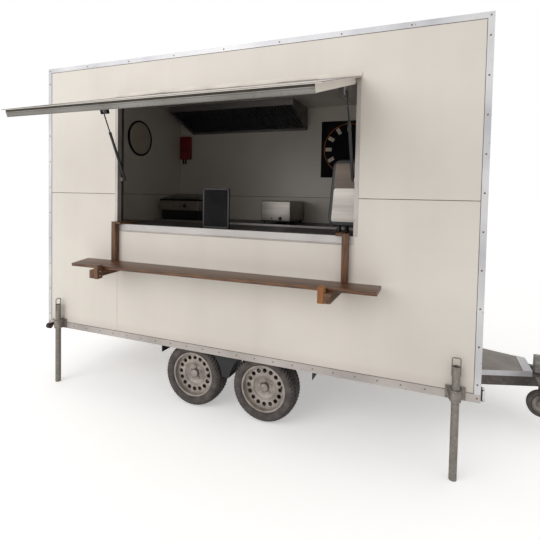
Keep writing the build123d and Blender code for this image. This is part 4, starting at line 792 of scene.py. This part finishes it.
class TRAILER_OT_tyres(Operator):
    """Road tyres with a grooved tread in place of the plain CAD tyres"""

    bl_idname = "trailer.tyres"
    bl_label = "Tyres"

    def execute(self, context):
        looks = context.scene.trailer_looks
        shape, shade = self.tyre(looks.tread_blocks, looks.tread_depth / MM)
        for wheel, hub in HUBS.items():
            tyre = piece(f"road_tyre_{wheel}", on_hub(shape, hub), "tyre", f"wheel_{wheel}", 30, shade)
            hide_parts(f"tyre_{wheel}")
        return {"FINISHED"}

    @staticmethod
    def tyre(blocks, depth):
        """A tyre about Z, and how deep each of its points lies in the tread.

        Its section is a superellipse about the middle radius, open at the rim. Four grooves run round the
        tread and slanting cuts divide it, each a smooth dip in the radius, and two thin ribs run round the
        sidewall.
        """
        t = np.linspace(math.radians(-36), math.radians(216), 86)[:, None]
        angle = np.linspace(0, 2 * np.pi, blocks * 6, endpoint=False)[None]
        across, rise = superellipse(t, TYRE_HALF_WIDTH, TYRE_HALF_HEIGHT, 2.6)
        radius = TYRE_MIDDLE + rise
        fade, groove_half, cut_slant, cut_half, centre_rib = 4.0, 5.0, 42.0, 0.15, 24.0
        on_tread = np.clip((TREAD_EDGE - np.abs(across)) / fade, 0, 1) * (radius > TYRE_MIDDLE)
        groove = sum(np.exp(-((across - at) / groove_half) ** 4) for at in TREAD_GROOVES)
        phase = (angle * blocks / (2 * np.pi) + np.abs(across) / cut_slant) % 1
        cut = np.exp(-((phase - 0.5) / cut_half) ** 4) * (np.abs(across) > centre_rib)
        shade = on_tread * np.maximum(groove, 0.85 * cut)
        radius = radius - depth * shade
        rib_half, rib_height, sidewall = 1.6, 1.2, np.abs(across) > 80
        rib = sum(np.exp(-((radius - at) / rib_half) ** 2) for at in SIDEWALL_RIBS) * sidewall
        across = across + np.sign(across) * rib_height * rib
        grid = np.stack(np.broadcast_arrays(radius * np.cos(angle), radius * np.sin(angle), across), -1)
        return hoop(grid), shade


class TRAILER_OT_wheel_fittings(Operator):
    """Wheel bolts, grease caps, valves, the discs' pressed ridges and the brake shields behind them, whose
    brown-black also paints the shade inside the wheels
    """

    bl_idname = "trailer.wheel_fittings"
    bl_label = "Wheel fittings"

    def execute(self, context):
        count = context.scene.trailer_looks.wheel_bolts
        angle = np.linspace(0, 2 * np.pi, count, endpoint=False) + BOLT_TURN
        across, rise = BOLT_CIRCLE * np.cos(angle), BOLT_CIRCLE * np.sin(angle)
        ring = np.column_stack((across, rise, np.full(count, DISC_FACE)))
        cap = turned(((31, 49), (31, 53), (29, 57), (24, 60), (12, 62), (2, 62.4)), 32)
        stem = turned(((7, -4), (6, 8), (4, 14), (4, 26), (3, 28)), 14)
        ridges = joined(
            turned(((88, 43.5), (97.5, 43.5), (96.5, 47), (93, 49), (89.5, 47.5)), 60, hoop),
            turned(((150, 43.5), (161, 43.5), (159, 46.5), (152, 46.5)), 60, hoop))
        # A brake shield behind the vents, whose brown-black is also painted shade inside the wheel.
        shield = turned(((119.5, -42), (162, -42), (162, -39), (119.5, -39)), 48, hoop)
        fittings = {
            "wheel_bolts": (spread(bolt(19, 13), ring), "rim"),
            "grease_cap": (cap, "rim"),
            "tyre_valve": (placed(stem, (141, 26, 44), (0.25, 0, 1)), "seal"),
            "rim_ridges": (ridges, "rim"),
            "brake_shield_and_shade": (shield, "shade_black"),
        }
        for wheel, hub in HUBS.items():
            for name, (shape, finish) in fittings.items():
                body = "trailer" if name == "brake_shield_and_shade" else f"wheel_{wheel}"
                piece(f"{name}_{wheel}", on_hub(shape, hub), finish, body)
        return {"FINISHED"}


class TRAILER_OT_mudguard_valleys(Operator):
    """The dip of each tandem mudguard between its two wheels, whose black is also painted deep shade"""

    bl_idname = "trailer.mudguard_valleys"
    bl_label = "Mudguard valleys"

    def execute(self, context):
        shapes = [self.valley(HUBS[f"rear_{side}"], HUBS[f"front_{side}"]) for side in ("left", "right")]
        # Black wedges between the wheels: the mudguards' dips, and painted deep shade under the body.
        piece("mudguard_valleys", joined(*shapes), "guard", smooth=30)
        return {"FINISHED"}

    @staticmethod
    def valley(rear, front):
        """A wedge whose two flanks keep 25 mm off the tyres.

        Each flank lies at the root of R squared less rise squared from its hub, R being the tyre's radius
        and that gap, and goes straight up once it is as near to the hub as a valley comes.
        """
        rise = np.linspace(VALLEY_TOP - rear[2], VALLEY_FOOT - rear[2], 28)
        reach = np.sqrt(np.maximum(VALLEY_RADIUS ** 2 - rise ** 2, VALLEY_NEAREST ** 2))
        flanks = np.concatenate((rear[0] + reach, front[0] - reach[::-1]))
        height = rear[2] + np.concatenate((rise, rise[::-1]))
        across = np.array((-VALLEY_HALF_WIDTH, VALLEY_HALF_WIDTH))[:, None] + rear[1]
        return tube(np.stack(np.broadcast_arrays(flanks, across, height), -1))


class TRAILER_OT_rivets(Operator):
    """Rivets along the trims and rails, screws at the opening and in the deck's edging"""

    bl_idname = "trailer.rivets"
    bl_label = "Rivets and screws"

    def execute(self, context):
        looks = context.scene.trailer_looks
        eaves, corners, rail = looks.rivet_pitch / MM, looks.corner_pitch / MM, looks.rail_pitch / MM
        radius = looks.rivet_radius / MM
        head = dome(radius, radius * 0.45)
        mid, ends = TRIM / 2, (TRIM / 2, LENGTH - TRIM / 2)
        reach, roof_z = HALF_WIDTH - mid, TOP + SKIN
        roof = [row_of((x, -reach, roof_z), (x, reach, roof_z), eaves) for x in ends]
        roof += [row_of((ends[0], y, roof_z), (ends[1], y, roof_z), eaves) for y in (-reach, reach)]
        piece("roof_rivets", spread(head, np.vstack(roof)), "rusted")

        rail_z, eave_z = (BOTTOM + RAIL_TOP) / 2, TOP - mid
        foot, top = RAIL_TOP + 60, eave_z - 120
        # Each wall's way out and the two ends of its trims
        walls = [(side * Y, (ends[0], -side * FACE_Y), (ends[1], -side * FACE_Y)) for side in SIDES]
        walls += [(out, (x, -reach), (x, reach)) for out, x in ((-X, -SKIN), (X, LENGTH + SKIN))]
        trims, rails = [], []
        for out, near, far in walls:
            rivet = facing(head, out)
            trims.append(spread(rivet, row_of((*near, eave_z), (*far, eave_z), eaves)))
            trims += [spread(rivet, row_of((*at, foot), (*at, top), corners)) for at in (near, far)]
            rails.append(spread(rivet, row_of((*near, rail_z), (*far, rail_z), rail)))
        piece("trim_rivets", joined(*trims), "rusted")
        piece("rail_rivets", joined(*rails), "rusty")

        screws = []
        for inset, z, pitch in ((120, SILL - 38, 360), (60, HINGE_LEAF_Z, 170)):
            screws.append(row_of((OPENING[0] + inset, FACE_Y, z), (OPENING[1] - inset, FACE_Y, z), pitch))
        piece("opening_screws", spread(facing(dome(4.5, 2), -Y), np.vstack(screws)), "screw")

        low, high = box_mm("deck_edging")
        strip = np.vstack([
            row_of((high[0] - inset, low[1] * 0.45, high[2]), (high[0] - inset, high[1] * 0.45, high[2]), 75)
            for inset in (18, 42)
        ])
        piece("deck_screws", spread(dome(5, 2), strip), "screw")
        return {"FINISHED"}


class TRAILER_OT_joint_beads(Operator):
    """Sealant along the joints between panels and along the trims' edges"""

    bl_idname = "trailer.joint_beads"
    bl_label = "Joint beads"

    def execute(self, context):
        inside_y, inside_x = FAR_LINING, (PANEL, LENGTH - PANEL)
        door = box_mm("door_frame")
        joints = [
            # Start, end and the way that the bead faces
            ((TRIM, -HALF_WIDTH), (OPENING[0] - 28, -HALF_WIDTH), -Y),
            ((OPENING[1] + 28, -HALF_WIDTH), (LENGTH - TRIM, -HALF_WIDTH), -Y),
            ((TRIM, HALF_WIDTH), (LENGTH - TRIM, HALF_WIDTH), Y),
            ((0, TRIM - HALF_WIDTH), (0, HALF_WIDTH - TRIM), -X),
            ((LENGTH, TRIM - HALF_WIDTH), (LENGTH, door[0][1] - 2), X),
            ((LENGTH, door[1][1] + 2), (LENGTH, HALF_WIDTH - TRIM), X),
            ((inside_x[0], inside_y), (inside_x[1], inside_y), -Y),
            ((inside_x[0], -inside_y), (inside_x[0], inside_y), X),
        ]
        inset = TRIM + 1.0
        near, far, foot, head = inset, LENGTH - inset, RAIL_TOP + 1.0, TOP - inset
        edges, ends = [], ((0, -X), (LENGTH, X))
        for side in SIDES:
            y, out = side * HALF_WIDTH, side * Y
            edges += [((near, y, z), (far, y, z), out) for z in (foot, head)]
            edges += [((x, y, foot), (x, y, head), out) for x in (near, far)]
            reach = side * (HALF_WIDTH - inset)
            edges += [((x, reach, foot), (x, reach, head), way) for x, way in ends]
        for x, way in ends:
            edges += [((x, inset - HALF_WIDTH, z), (x, HALF_WIDTH - inset, z), way) for z in (foot, head)]

        bead = np.array(((-2.6, -0.6), (2.6, -0.6), (2.0, 0.9), (0, 1.3), (-2.0, 0.9)))
        seam = row_of((OPENING[0], -HALF_WIDTH, RAIL_TOP), (OPENING[0], -HALF_WIDTH, SEAM_TOP), 300)
        piece("panel_seam", carried(bead * (0.7, 1), seam, -Y), "seam")
        runs = [((*start, JOINT_Z), (*end, JOINT_Z), out) for start, end, out in joints]
        # The trim beads lay a dark grey-brown line along each trim's inner edge, where it meets the panel.
        for name, lines in (("joint_beads", runs), ("trim_beads", edges)):
            beads = [carried(bead, row_of(start, end, 400), out) for start, end, out in lines]
            piece(name, joined(*beads), "sealant")
        return {"FINISHED"}


class TRAILER_OT_opening(Operator):
    """Edges of the serving opening: the hatch's channel and strut brackets, painted shadow in the recess
    along the hatch's edge, the tapes on the jambs, the strip over the hinge and the sill's rolled lip"""

    bl_idname = "trailer.opening"
    bl_label = "Opening"

    def execute(self, context):
        low, high = HATCH_CORE
        gap, split, under, inner = 0.3, low[1] + 13, low[2] - 2.5, high[1]
        web = rounded_box((low[0], split, under), (high[0], inner, low[2] - gap), 1)
        lip = rounded_box((low[0], inner + gap, under), (high[0], inner + 2.5, low[2] + 16), 1)
        roll = row_of((low[0] + 2, split + 3, under), (high[0] - 2, split + 3, under), 300)
        channel = joined(web, lip, carried(circle(4, 10), roll))
        piece("hatch_channel", opened(channel), "channel", "hatch")
        # A brown-black strip along the hatch's edge: painted shadow in the recess behind the skin's return.
        shade_black = rounded_box((low[0], low[1], low[2] - 1.8), (high[0], split, low[2] - gap), 0.7)
        piece("hatch_recess_shade", opened(shade_black), "shade_black", "hatch")
        foot, top = STRUT_BRACKET
        cheeks = []
        for near, far in STRUT_CHEEKS:
            for left, right in ((near, far), (STRUT_SPAN - far, STRUT_SPAN - near)):
                cheeks.append(rounded_box((left, inner + gap, foot), (right, inner + 68, top), 2, 1))
        piece("strut_brackets", opened(joined(*cheeks)), "black", "hatch")
        tapes = [rounded_box((x, -1023, SILL + 3), (x + 1.2, -995, HEAD - 3), 0.5, 2)
                 for x in (OPENING[0] + 0.2, OPENING[1] - 1.4)]
        piece("jamb_tapes", joined(*tapes), "seal")

        x = np.linspace(OPENING[0] - 30, OPENING[1] + 34, 60)
        sag = 1.6 * np.sin(x / 170) + 0.9 * np.sin(x / 61)
        path = np.column_stack((x, np.full(60, FACE_Y - 2.2), HINGE_STRIP_Z + sag))
        strip = ((-1.2, -14), (1.6, -15), (2.4, -12), (1.2, 8), (0.4, 13), (-1.6, 13), (-1.8, 0))
        piece("hinge_strip", carried(strip, path), "vinyl")
        ends = ((edge, FACE_Y - 2, SILL_LIP_Z) for edge in (OPENING[0] + 48, OPENING[1] - 73))
        piece("sill_lip", carried(circle(5, 12), row_of(*ends, 300)), "rail")
        return {"FINISHED"}


class TRAILER_OT_shelf(Operator):
    """The stained shelf with its waney edge, and the hook-on brackets under it"""

    bl_idname = "trailer.shelf"
    bl_label = "Shelf"

    def execute(self, context):
        low, high = box_mm("shelf_plank")
        board = self.plank(low, high, context.scene.trailer_looks.shelf_wane / MM)
        plank = piece("shelf_board", board, "wood_x", smooth=50)
        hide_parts("shelf_plank")
        wall, post, end, arm_top = FACE_Y, SHELF_POST, FACE_Y - SHELF_REACH, low[2]
        # Along from a post's middle: its two faces, the arm's far face and the nose's
        steps = (-post / 2, post / 2, post * 1.5, post * 1.5 + SHELF_NOSE[0])
        posts, arms, noses, screws = [], [], [], []
        for x, away, drop in ((OPENING[0] - 2, 1, SHELF_DROOP), (OPENING[1] - 47, -1, 0.0)):
            faces = [x + away * step for step in steps]
            span, lap, nose = (sorted(faces[at:at + 2]) for at in range(3))
            posts.append(rounded_box((span[0], wall - post, high[2] - 72), (span[1], wall, HOOK_TOP), 3, 2))
            arm = rounded_box((lap[0], end, arm_top - 65), (lap[1], wall, arm_top - 0.3), 3, 1)
            hook = rounded_box((lap[0], wall - post, SILL + 0.3), (lap[1], wall + 200, HOOK_TOP), 3, 1)
            arms += [self.drooped(arm, drop), hook]
            block = rounded_box(
                (nose[0], end, arm_top - 68), (nose[1], wall - SHELF_NOSE[1], arm_top + 38), 3, 2)
            noses.append(self.drooped(block, drop))
            heads = [(faces[3], wall - 302, arm_top + rise) for rise in (-45, -12)]
            screws.append(self.drooped(spread(facing(dome(5, 2), away * X), heads), drop))
        brackets = piece("shelf_posts", joined(*posts), "wood_z", smooth=50)
        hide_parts("shelf_brackets")
        piece("shelf_arms", joined(*arms), "wood_y", smooth=50)
        # The front nose block takes the raw pine, whose orange is partly painted sunlight.
        for name, nose, finish in zip(("rear", "front"), noses, ("wood_z", "raw_wood_and_sunlight")):
            piece(f"shelf_nose_{name}", nose, finish, smooth=50)
        piece("shelf_screws", joined(*screws), "screw")
        return {"FINISHED"}

    @staticmethod
    def drooped(shape, drop):
        """Let a bracket sink as it reaches out from the wall."""
        points, faces = shape
        return points - np.clip((FACE_Y - points[:, 1:2]) / SHELF_REACH, 0, 1) * drop * Z, faces

    @staticmethod
    def plank(low, high, wane):
        """The shelf's board along X.

        Its section is a rectangle with rounded edges. The front edge wanders by a sum of sines, the left end
        is cut on the slant, so each point moves along by a share of its distance from the back edge, and its
        front corner sinks by a share of both distances.
        """
        u = np.linspace(0, 1, 120)[:, None]
        corner = 3.0
        side, up, cos, sin = round_corners(4)
        depth, thick = high[1] - low[1] - 6, high[2] - low[2]
        middle = high[1] - depth / 2
        y = side * (depth / 2 - corner) + corner * cos
        z = up * (thick / 2 - corner) + corner * sin
        edge = np.clip((-y / depth) * 2, 0, 1) ** 3
        wander = wane * (np.sin(17 * u + 1) + 0.6 * np.sin(41 * u) + 0.35 * np.sin(93 * u + 2)) / 2
        from_back = (depth / 2 - y) / depth
        x = low[0] + SHELF_SLANT * from_back * (1 - u) + u * (high[0] - low[0])
        undercut = edge * 3 * (z < 0)
        rise = z + (low[2] + high[2]) / 2 - SHELF_DROOP * from_back * (1 - u)
        across = middle + y + edge * wander + undercut
        return tube(np.stack(np.broadcast_arrays(x, across, rise), -1))


class TRAILER_OT_struts(Operator):
    """Wiper rings on the gas struts"""

    bl_idname = "trailer.struts"
    bl_label = "Gas struts"

    def execute(self, context):
        gland = turned(((11.6, -16), (11.9, -15), (11.9, -2), (11, 1.5), (7, 3), (5.6, 3)), 24)
        for end in ("rear", "front"):
            low, high = box_mm(f"strut_cylinder_{end}")
            rod_low, rod_high = box_mm(f"strut_rod_{end}")
            x = (low[0] + high[0]) / 2
            foot = np.array((x, high[1] - STRUT_EYE, low[2] + STRUT_EYE))
            eye = np.array((x, rod_low[1] + STRUT_EYE, rod_high[2] - STRUT_EYE))
            line = (eye - foot) / np.linalg.norm(eye - foot)
            reach = (high[2] - foot[2]) / line[2]
            ring = placed(gland, foot + line * reach, line)
            piece(f"strut_gland_{end}", ring, "seal", f"strut_cylinder_{end}")
        return {"FINISHED"}


class TRAILER_OT_jockey(Operator):
    """The jockey wheel's solid rubber tyre and its pressed rim"""

    bl_idname = "trailer.jockey"
    bl_label = "Jockey wheel"

    def execute(self, context):
        low, high = box_mm("jockey_wheel")
        centre, half = (low + high) / 2, (high[1] - low[1]) / 2
        rings, steps, middle, thick = 40, 72, 83.0, 17.0
        t = np.linspace(0, 2 * np.pi, rings, endpoint=False)
        rise, across = superellipse(t, thick, half, 3.2)
        solid = placed(turned(np.stack((middle + rise, across), -1), steps, hoop), centre, Y)
        tyre = piece("jockey_tyre", solid, "tyre", "jockey_wheel", shade=np.zeros((rings, steps)))
        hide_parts("jockey_wheel")
        side = np.array((
            (67.5, half - 6), (66, half - 3), (62, half - 4), (58, 15), (34, 13), (31, half - 3), (27, half),
            (9, half),
        ))
        rim = np.vstack((side, side[::-1] * (1, -1)))
        piece("jockey_rim", placed(turned(rim, 48, hoop), centre, Y), "zinc", "jockey_wheel", 30)
        return {"FINISHED"}


class TRAILER_OT_lamps(Operator):
    """Lenses on the front markers, the stalk markers and the tail lamps"""

    bl_idname = "trailer.lamps"
    bl_label = "Lamps"

    def execute(self, context):
        marker_y, marker_top = (1005.0, 1060.0), 545.8
        tail_y, tail_top, red_share = (805.0, 1035.0), 575.8, 0.62
        stalk_x, stalk_y, stalk_z, stalk_half = 60.0, 1110.0, 474.0, 24.5
        disc = turned(((9, 0), (8.6, 2), (6, 3.4), (2, 4)), 20)
        lenses = {"front_marker": [], "stalk_marker": [], "tail_red": [], "tail_amber": []}
        for side in SIDES:
            low, high = sorted(side * y for y in marker_y)
            marker = (LENGTH + 9, low - 0.8, LAMP_Z), (LENGTH + 29, high + 0.8, marker_top)
            lenses["front_marker"].append(rounded_box(*marker, 8, 0))
            stalk = np.array((stalk_x, side * stalk_y, stalk_z))
            lenses["stalk_marker"] += [placed(disc, stalk + way * stalk_half * X, way * X) for way in SIDES]
            inner, outer = (side * y for y in tail_y)
            split = inner + (outer - inner) * red_share
            for name, span in (("tail_red", (inner, split)), ("tail_amber", (split, outer))):
                low, high = sorted(span)
                lenses[name].append(rounded_box((-43.0, low + 1, LAMP_Z), (-14, high - 1, tail_top), 9, 0))
        finishes = ("clear_lens", "red_lens", "red_lens", "amber_lens")
        for (name, shapes), finish in zip(lenses.items(), finishes):
            piece(f"{name}_lenses", joined(*shapes), finish)
        return {"FINISHED"}


class TRAILER_OT_kitchen(Operator):
    """Griddle, warmer and coffee machine on the worktops, their edging, and the hood's grease filters"""

    bl_idname = "trailer.kitchen"
    bl_label = "Kitchen"

    def execute(self, context):
        self.griddle()
        self.warmer()
        self.coffee_machine()
        self.filters()
        strip = rounded_box((EDGING[0], 422.6, 1377), (EDGING[1], 425.2, 1405.5), 1.2)
        nosing = rounded_box((EDGING[0], 420.5, 1401), (EDGING[1], 426, 1406.4), 1.2)
        piece("worktop_edging", joined(strip, nosing), "sill")
        return {"FINISHED"}

    @staticmethod
    def griddle():
        """A stainless case on a black plinth, a plate, and an upstand that rakes down to the front."""
        low, high, plate = np.array((120.0, 450.0, 1524.0)), np.array((680.0, 900.0, 1641.0)), 1662.0
        case = piece("griddle_case", rounded_box(low, high, 5, 0), "steel")
        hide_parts("cooking_appliances")
        plinth = rounded_box((low[0] + 20, low[1] + 20, WORKTOP), (high[0] - 20, high[1] - 20, low[2]), 4, 0)
        piece("griddle_plinth", plinth, "black")
        top = rounded_box((low[0] + 1, low[1] + 1, high[2]), (high[0] - 1, high[1] - 1, plate), 3, 0)
        piece("griddle_top", top, "plate")
        y = np.linspace(low[1] + 20, high[1] - 4, 24)
        height = np.clip((y - y[0]) / 360, 0, 1) * 66 + 4
        foot, brow = np.column_stack((y, np.full(len(y), plate))), np.column_stack((y, plate + height))
        outline = np.vstack((foot, brow[::-1]))
        guard = []
        for x in (low[0] + 1.5, high[0] - 5.5):
            sides = [np.column_stack((np.full(len(outline), x + step), outline)) for step in (0, 4)]
            guard.append(tube(np.stack(sides)))
        back = (low[0] + 1.5, high[1] - 8, plate), (high[0] - 1.5, high[1] - 3, plate + 70)
        guard.append(rounded_box(*back, 1.5, 0))
        piece("griddle_guard", joined(*guard), "steel")
        knob_x, knob_z, pilot_x, pilot_step, seam_x = 493, 1582, 433, 10, 333
        knob = turned(((22, 0), (22, 6), (17, 9), (15, 26), (12, 29), (2, 29.5)), 24)
        piece("griddle_knob", placed(knob, (knob_x, low[1], knob_z), -Y), "black")
        pilot = turned(((6, -1), (6, 2), (4, 4), (1, 5)), 14)
        pilots = [placed(pilot, (pilot_x, low[1], knob_z + way * pilot_step), -Y) for way in SIDES]
        piece("griddle_pilots", joined(*pilots), "red_lens")
        seam = (seam_x - 2, low[1] - 0.8, low[2] + 4), (seam_x + 2, low[1] + 0.6, high[2] - 4)
        piece("griddle_seam", rounded_box(*seam, 0.6, 2), "seal")

    @staticmethod
    def warmer():
        """A stainless box with folded edges, a dial and a pilot lamp, on a black base and feet."""
        low, high = np.array((1520.0, 435.0, 1434.0)), np.array((1875.0, 950.0, 1668.0))
        piece("warmer_case", rounded_box(low + (0, 0, 8), high, 12, 1, 6), "steel")
        base = [rounded_box(low + (4, 4, 0), (high[0] - 4, high[1] - 4, low[2] + 24), 4, 0)]
        foot = turned(((14, 0), (15, 2), (14, 28), (13, 29)), 16)
        base += [placed(foot, (x, y, WORKTOP)) for x in (low[0] + 35, high[0] - 35)
                 for y in (low[1] + 35, high[1] - 35)]
        piece("warmer_base", joined(*base), "black")
        dial = turned(((20, 0), (20, 5), (16, 8), (14, 22), (11, 24), (2, 24.5)), 24)
        pilot = turned(((9, 0), (9, 3), (7, 6), (2, 8)), 16)
        dial_x, pilot_x, control_z = 1755, 1656, 1473
        piece("warmer_knob", placed(dial, (dial_x, low[1], control_z), -Y), "black")
        piece("warmer_pilot", placed(pilot, (pilot_x, low[1], control_z), -Y), "red_lens")

    @staticmethod
    def coffee_machine():
        """A black case that narrows as it rises, with wide corners, a bright lower and a tinted upper panel
        set in its front and back, and feet below."""
        low, high = box_mm("coffee_machine")
        base, narrowing, faces = low[2] + 60, 0.17, (low[1] + 3, high[1] - 3)
        body = rounded_box((low[0], faces[0], base), (high[0], faces[1], high[2]), 60, 1, 8, 10)
        case = piece("coffee_machine_case", tapered(body, base, high[2], narrowing), "black")
        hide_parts("coffee_machine")
        split, thick, inset = base + 0.57 * (high[2] - base), 2.8, 26
        parts = (("lower", base + 30, split, "steel"), ("upper", split + 1.5, high[2] - inset, "smoked"))
        for name, bottom, top, finish in parts:
            panels = []
            for y in faces:
                corners = (low[0] + inset, y - thick, bottom), (high[0] - inset, y + thick, top)
                panels.append(tapered(rounded_box(*corners, 16, 1, 8, 1.5), base, high[2], narrowing))
            piece(f"coffee_machine_{name}_panels", joined(*panels), finish)
        foot = turned(((17, 0), (18, 2), (15, 58), (14, 66)), 18)
        feet = [placed(foot, (x, y, low[2]))
                for x in (low[0] + 75, high[0] - 75) for y in (low[1] + 55, high[1] - 55)]
        piece("coffee_machine_feet", joined(*feet), "black")

    @staticmethod
    def filters():
        """Baffle filters across the hood's mouth: rows of rounded slats that slope with it."""
        front, back, first, last, pitch, lift = 475, 1005, 275, 1840, 34.0, 24
        y = np.linspace(front, back, 6)
        z = HOOD_MOUTH[1] - (y - HOOD_MOUTH[0]) * HOOD_SLOPE + lift
        slat = circle(11, 10) * (1, 0.55)
        places = np.arange(first, last, pitch)
        slats = [carried(slat, np.column_stack((np.full(6, x), y, z))) for x in places]
        piece("hood_baffles", joined(*slats), "filter")


class TRAILER_OT_boards(Operator):
    """The blank boards inside: a round sign, a square dial board, a fire blanket case and a menu board"""

    bl_idname = "trailer.boards"
    bl_label = "Boards"

    def execute(self, context):
        rim = turned(((210, 0), (210, 14), (207, 17.5), (192, 18), (189, 15), (189, 0)), 72, hoop)
        disc = piece("round_sign", placed(rim, SIGN_CENTRE, X), "slate", smooth=30)
        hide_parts("wall_boards")
        face = turned(((190, 0.5), (190, 11), (186, 12.5), (2, 12.5)), 72)
        piece("round_sign_face", placed(face, SIGN_CENTRE, X), "lining", smooth=30)

        wall, (x, y, z) = FAR_LINING, DIAL_CENTRE
        board = rounded_box((x - DIAL_HALF, y, z - DIAL_HALF), (x + DIAL_HALF, wall, z + DIAL_HALF), 4, 0)
        piece("dial_board", board, "slate")
        ring = turned(((300, -1), (300, 1.4), (293, 1.4), (293, -1)), 90, hoop)
        piece("dial_ring", placed(ring, DIAL_CENTRE, -Y), "orange", smooth=30)
        tab = rounded_box((-22, 206, -1), (22, 282, 1.6), 1.2, 2)
        turns = np.arange(12) * np.pi / 6
        tabs = [placed(tab, DIAL_CENTRE, -Y, (math.cos(turn), 0, math.sin(turn))) for turn in turns]
        piece("dial_tabs", joined(*tabs), "ivory")

        piece("blanket_case", rounded_box((60, wall - 60, 2205), (218, wall, 2512), 8, 2), "red")
        tapes = [rounded_box((x - 11, wall - 36, 2140), (x + 11, wall - 33, 2212), 1, 2) for x in (104, 142)]
        piece("blanket_tapes", joined(*tapes), "seal")

        left, right, bottom, top, bar, lap, front, back = 1615, 1852, SILL, 1773, 13, 4, -986, -966
        slate = (left + lap, front + 2, bottom + lap), (right - lap, back - 2, top - lap)
        piece("menu_board", rounded_box(*slate, 2, 0), "slate")
        bars = [rounded_box((left, front, z), (right, back, z + bar), 2.5, 0) for z in (bottom, top - bar)]
        bars += [rounded_box((x, front, bottom), (x + bar, back, top), 2.5, 2) for x in (left, right - bar)]
        piece("menu_board_frame", joined(*bars), "black")
        return {"FINISHED"}


STEPS = (
    TRAILER_OT_stage, TRAILER_OT_finishes, TRAILER_OT_tyres, TRAILER_OT_wheel_fittings,
    TRAILER_OT_mudguard_valleys, TRAILER_OT_rivets, TRAILER_OT_joint_beads, TRAILER_OT_opening,
    TRAILER_OT_shelf, TRAILER_OT_struts, TRAILER_OT_jockey, TRAILER_OT_lamps, TRAILER_OT_kitchen,
    TRAILER_OT_boards,
)


class TRAILER_PT_sidebar(Panel):
    """Lists the trailer's pieces, sizes and colours"""

    bl_idname = "TRAILER_PT_sidebar"
    bl_label = "Food trailer"
    bl_space_type = "VIEW_3D"
    bl_region_type = "UI"
    bl_category = "Trailer"

    def draw(self, context):
        for group in (context.scene.trailer_looks, context.scene.trailer_stage):
            for key in group.__annotations__:
                self.layout.prop(group, key)
        for step in STEPS:
            self.layout.operator(step.bl_idname)


CLASSES = (TrailerLooks, StageLooks, *STEPS, TRAILER_PT_sidebar)


def register():
    for made in CLASSES:
        bpy.utils.register_class(made)
    bpy.types.Scene.trailer_looks = PointerProperty(type=TrailerLooks)
    bpy.types.Scene.trailer_stage = PointerProperty(type=StageLooks)


def unregister():
    del bpy.types.Scene.trailer_stage
    del bpy.types.Scene.trailer_looks
    for made in reversed(CLASSES):
        bpy.utils.unregister_class(made)


def main():
    register()
    for step in STEPS:
        family, name = step.bl_idname.split(".")
        getattr(getattr(bpy.ops, family), name)()


if __name__ == "__main__":
    main()
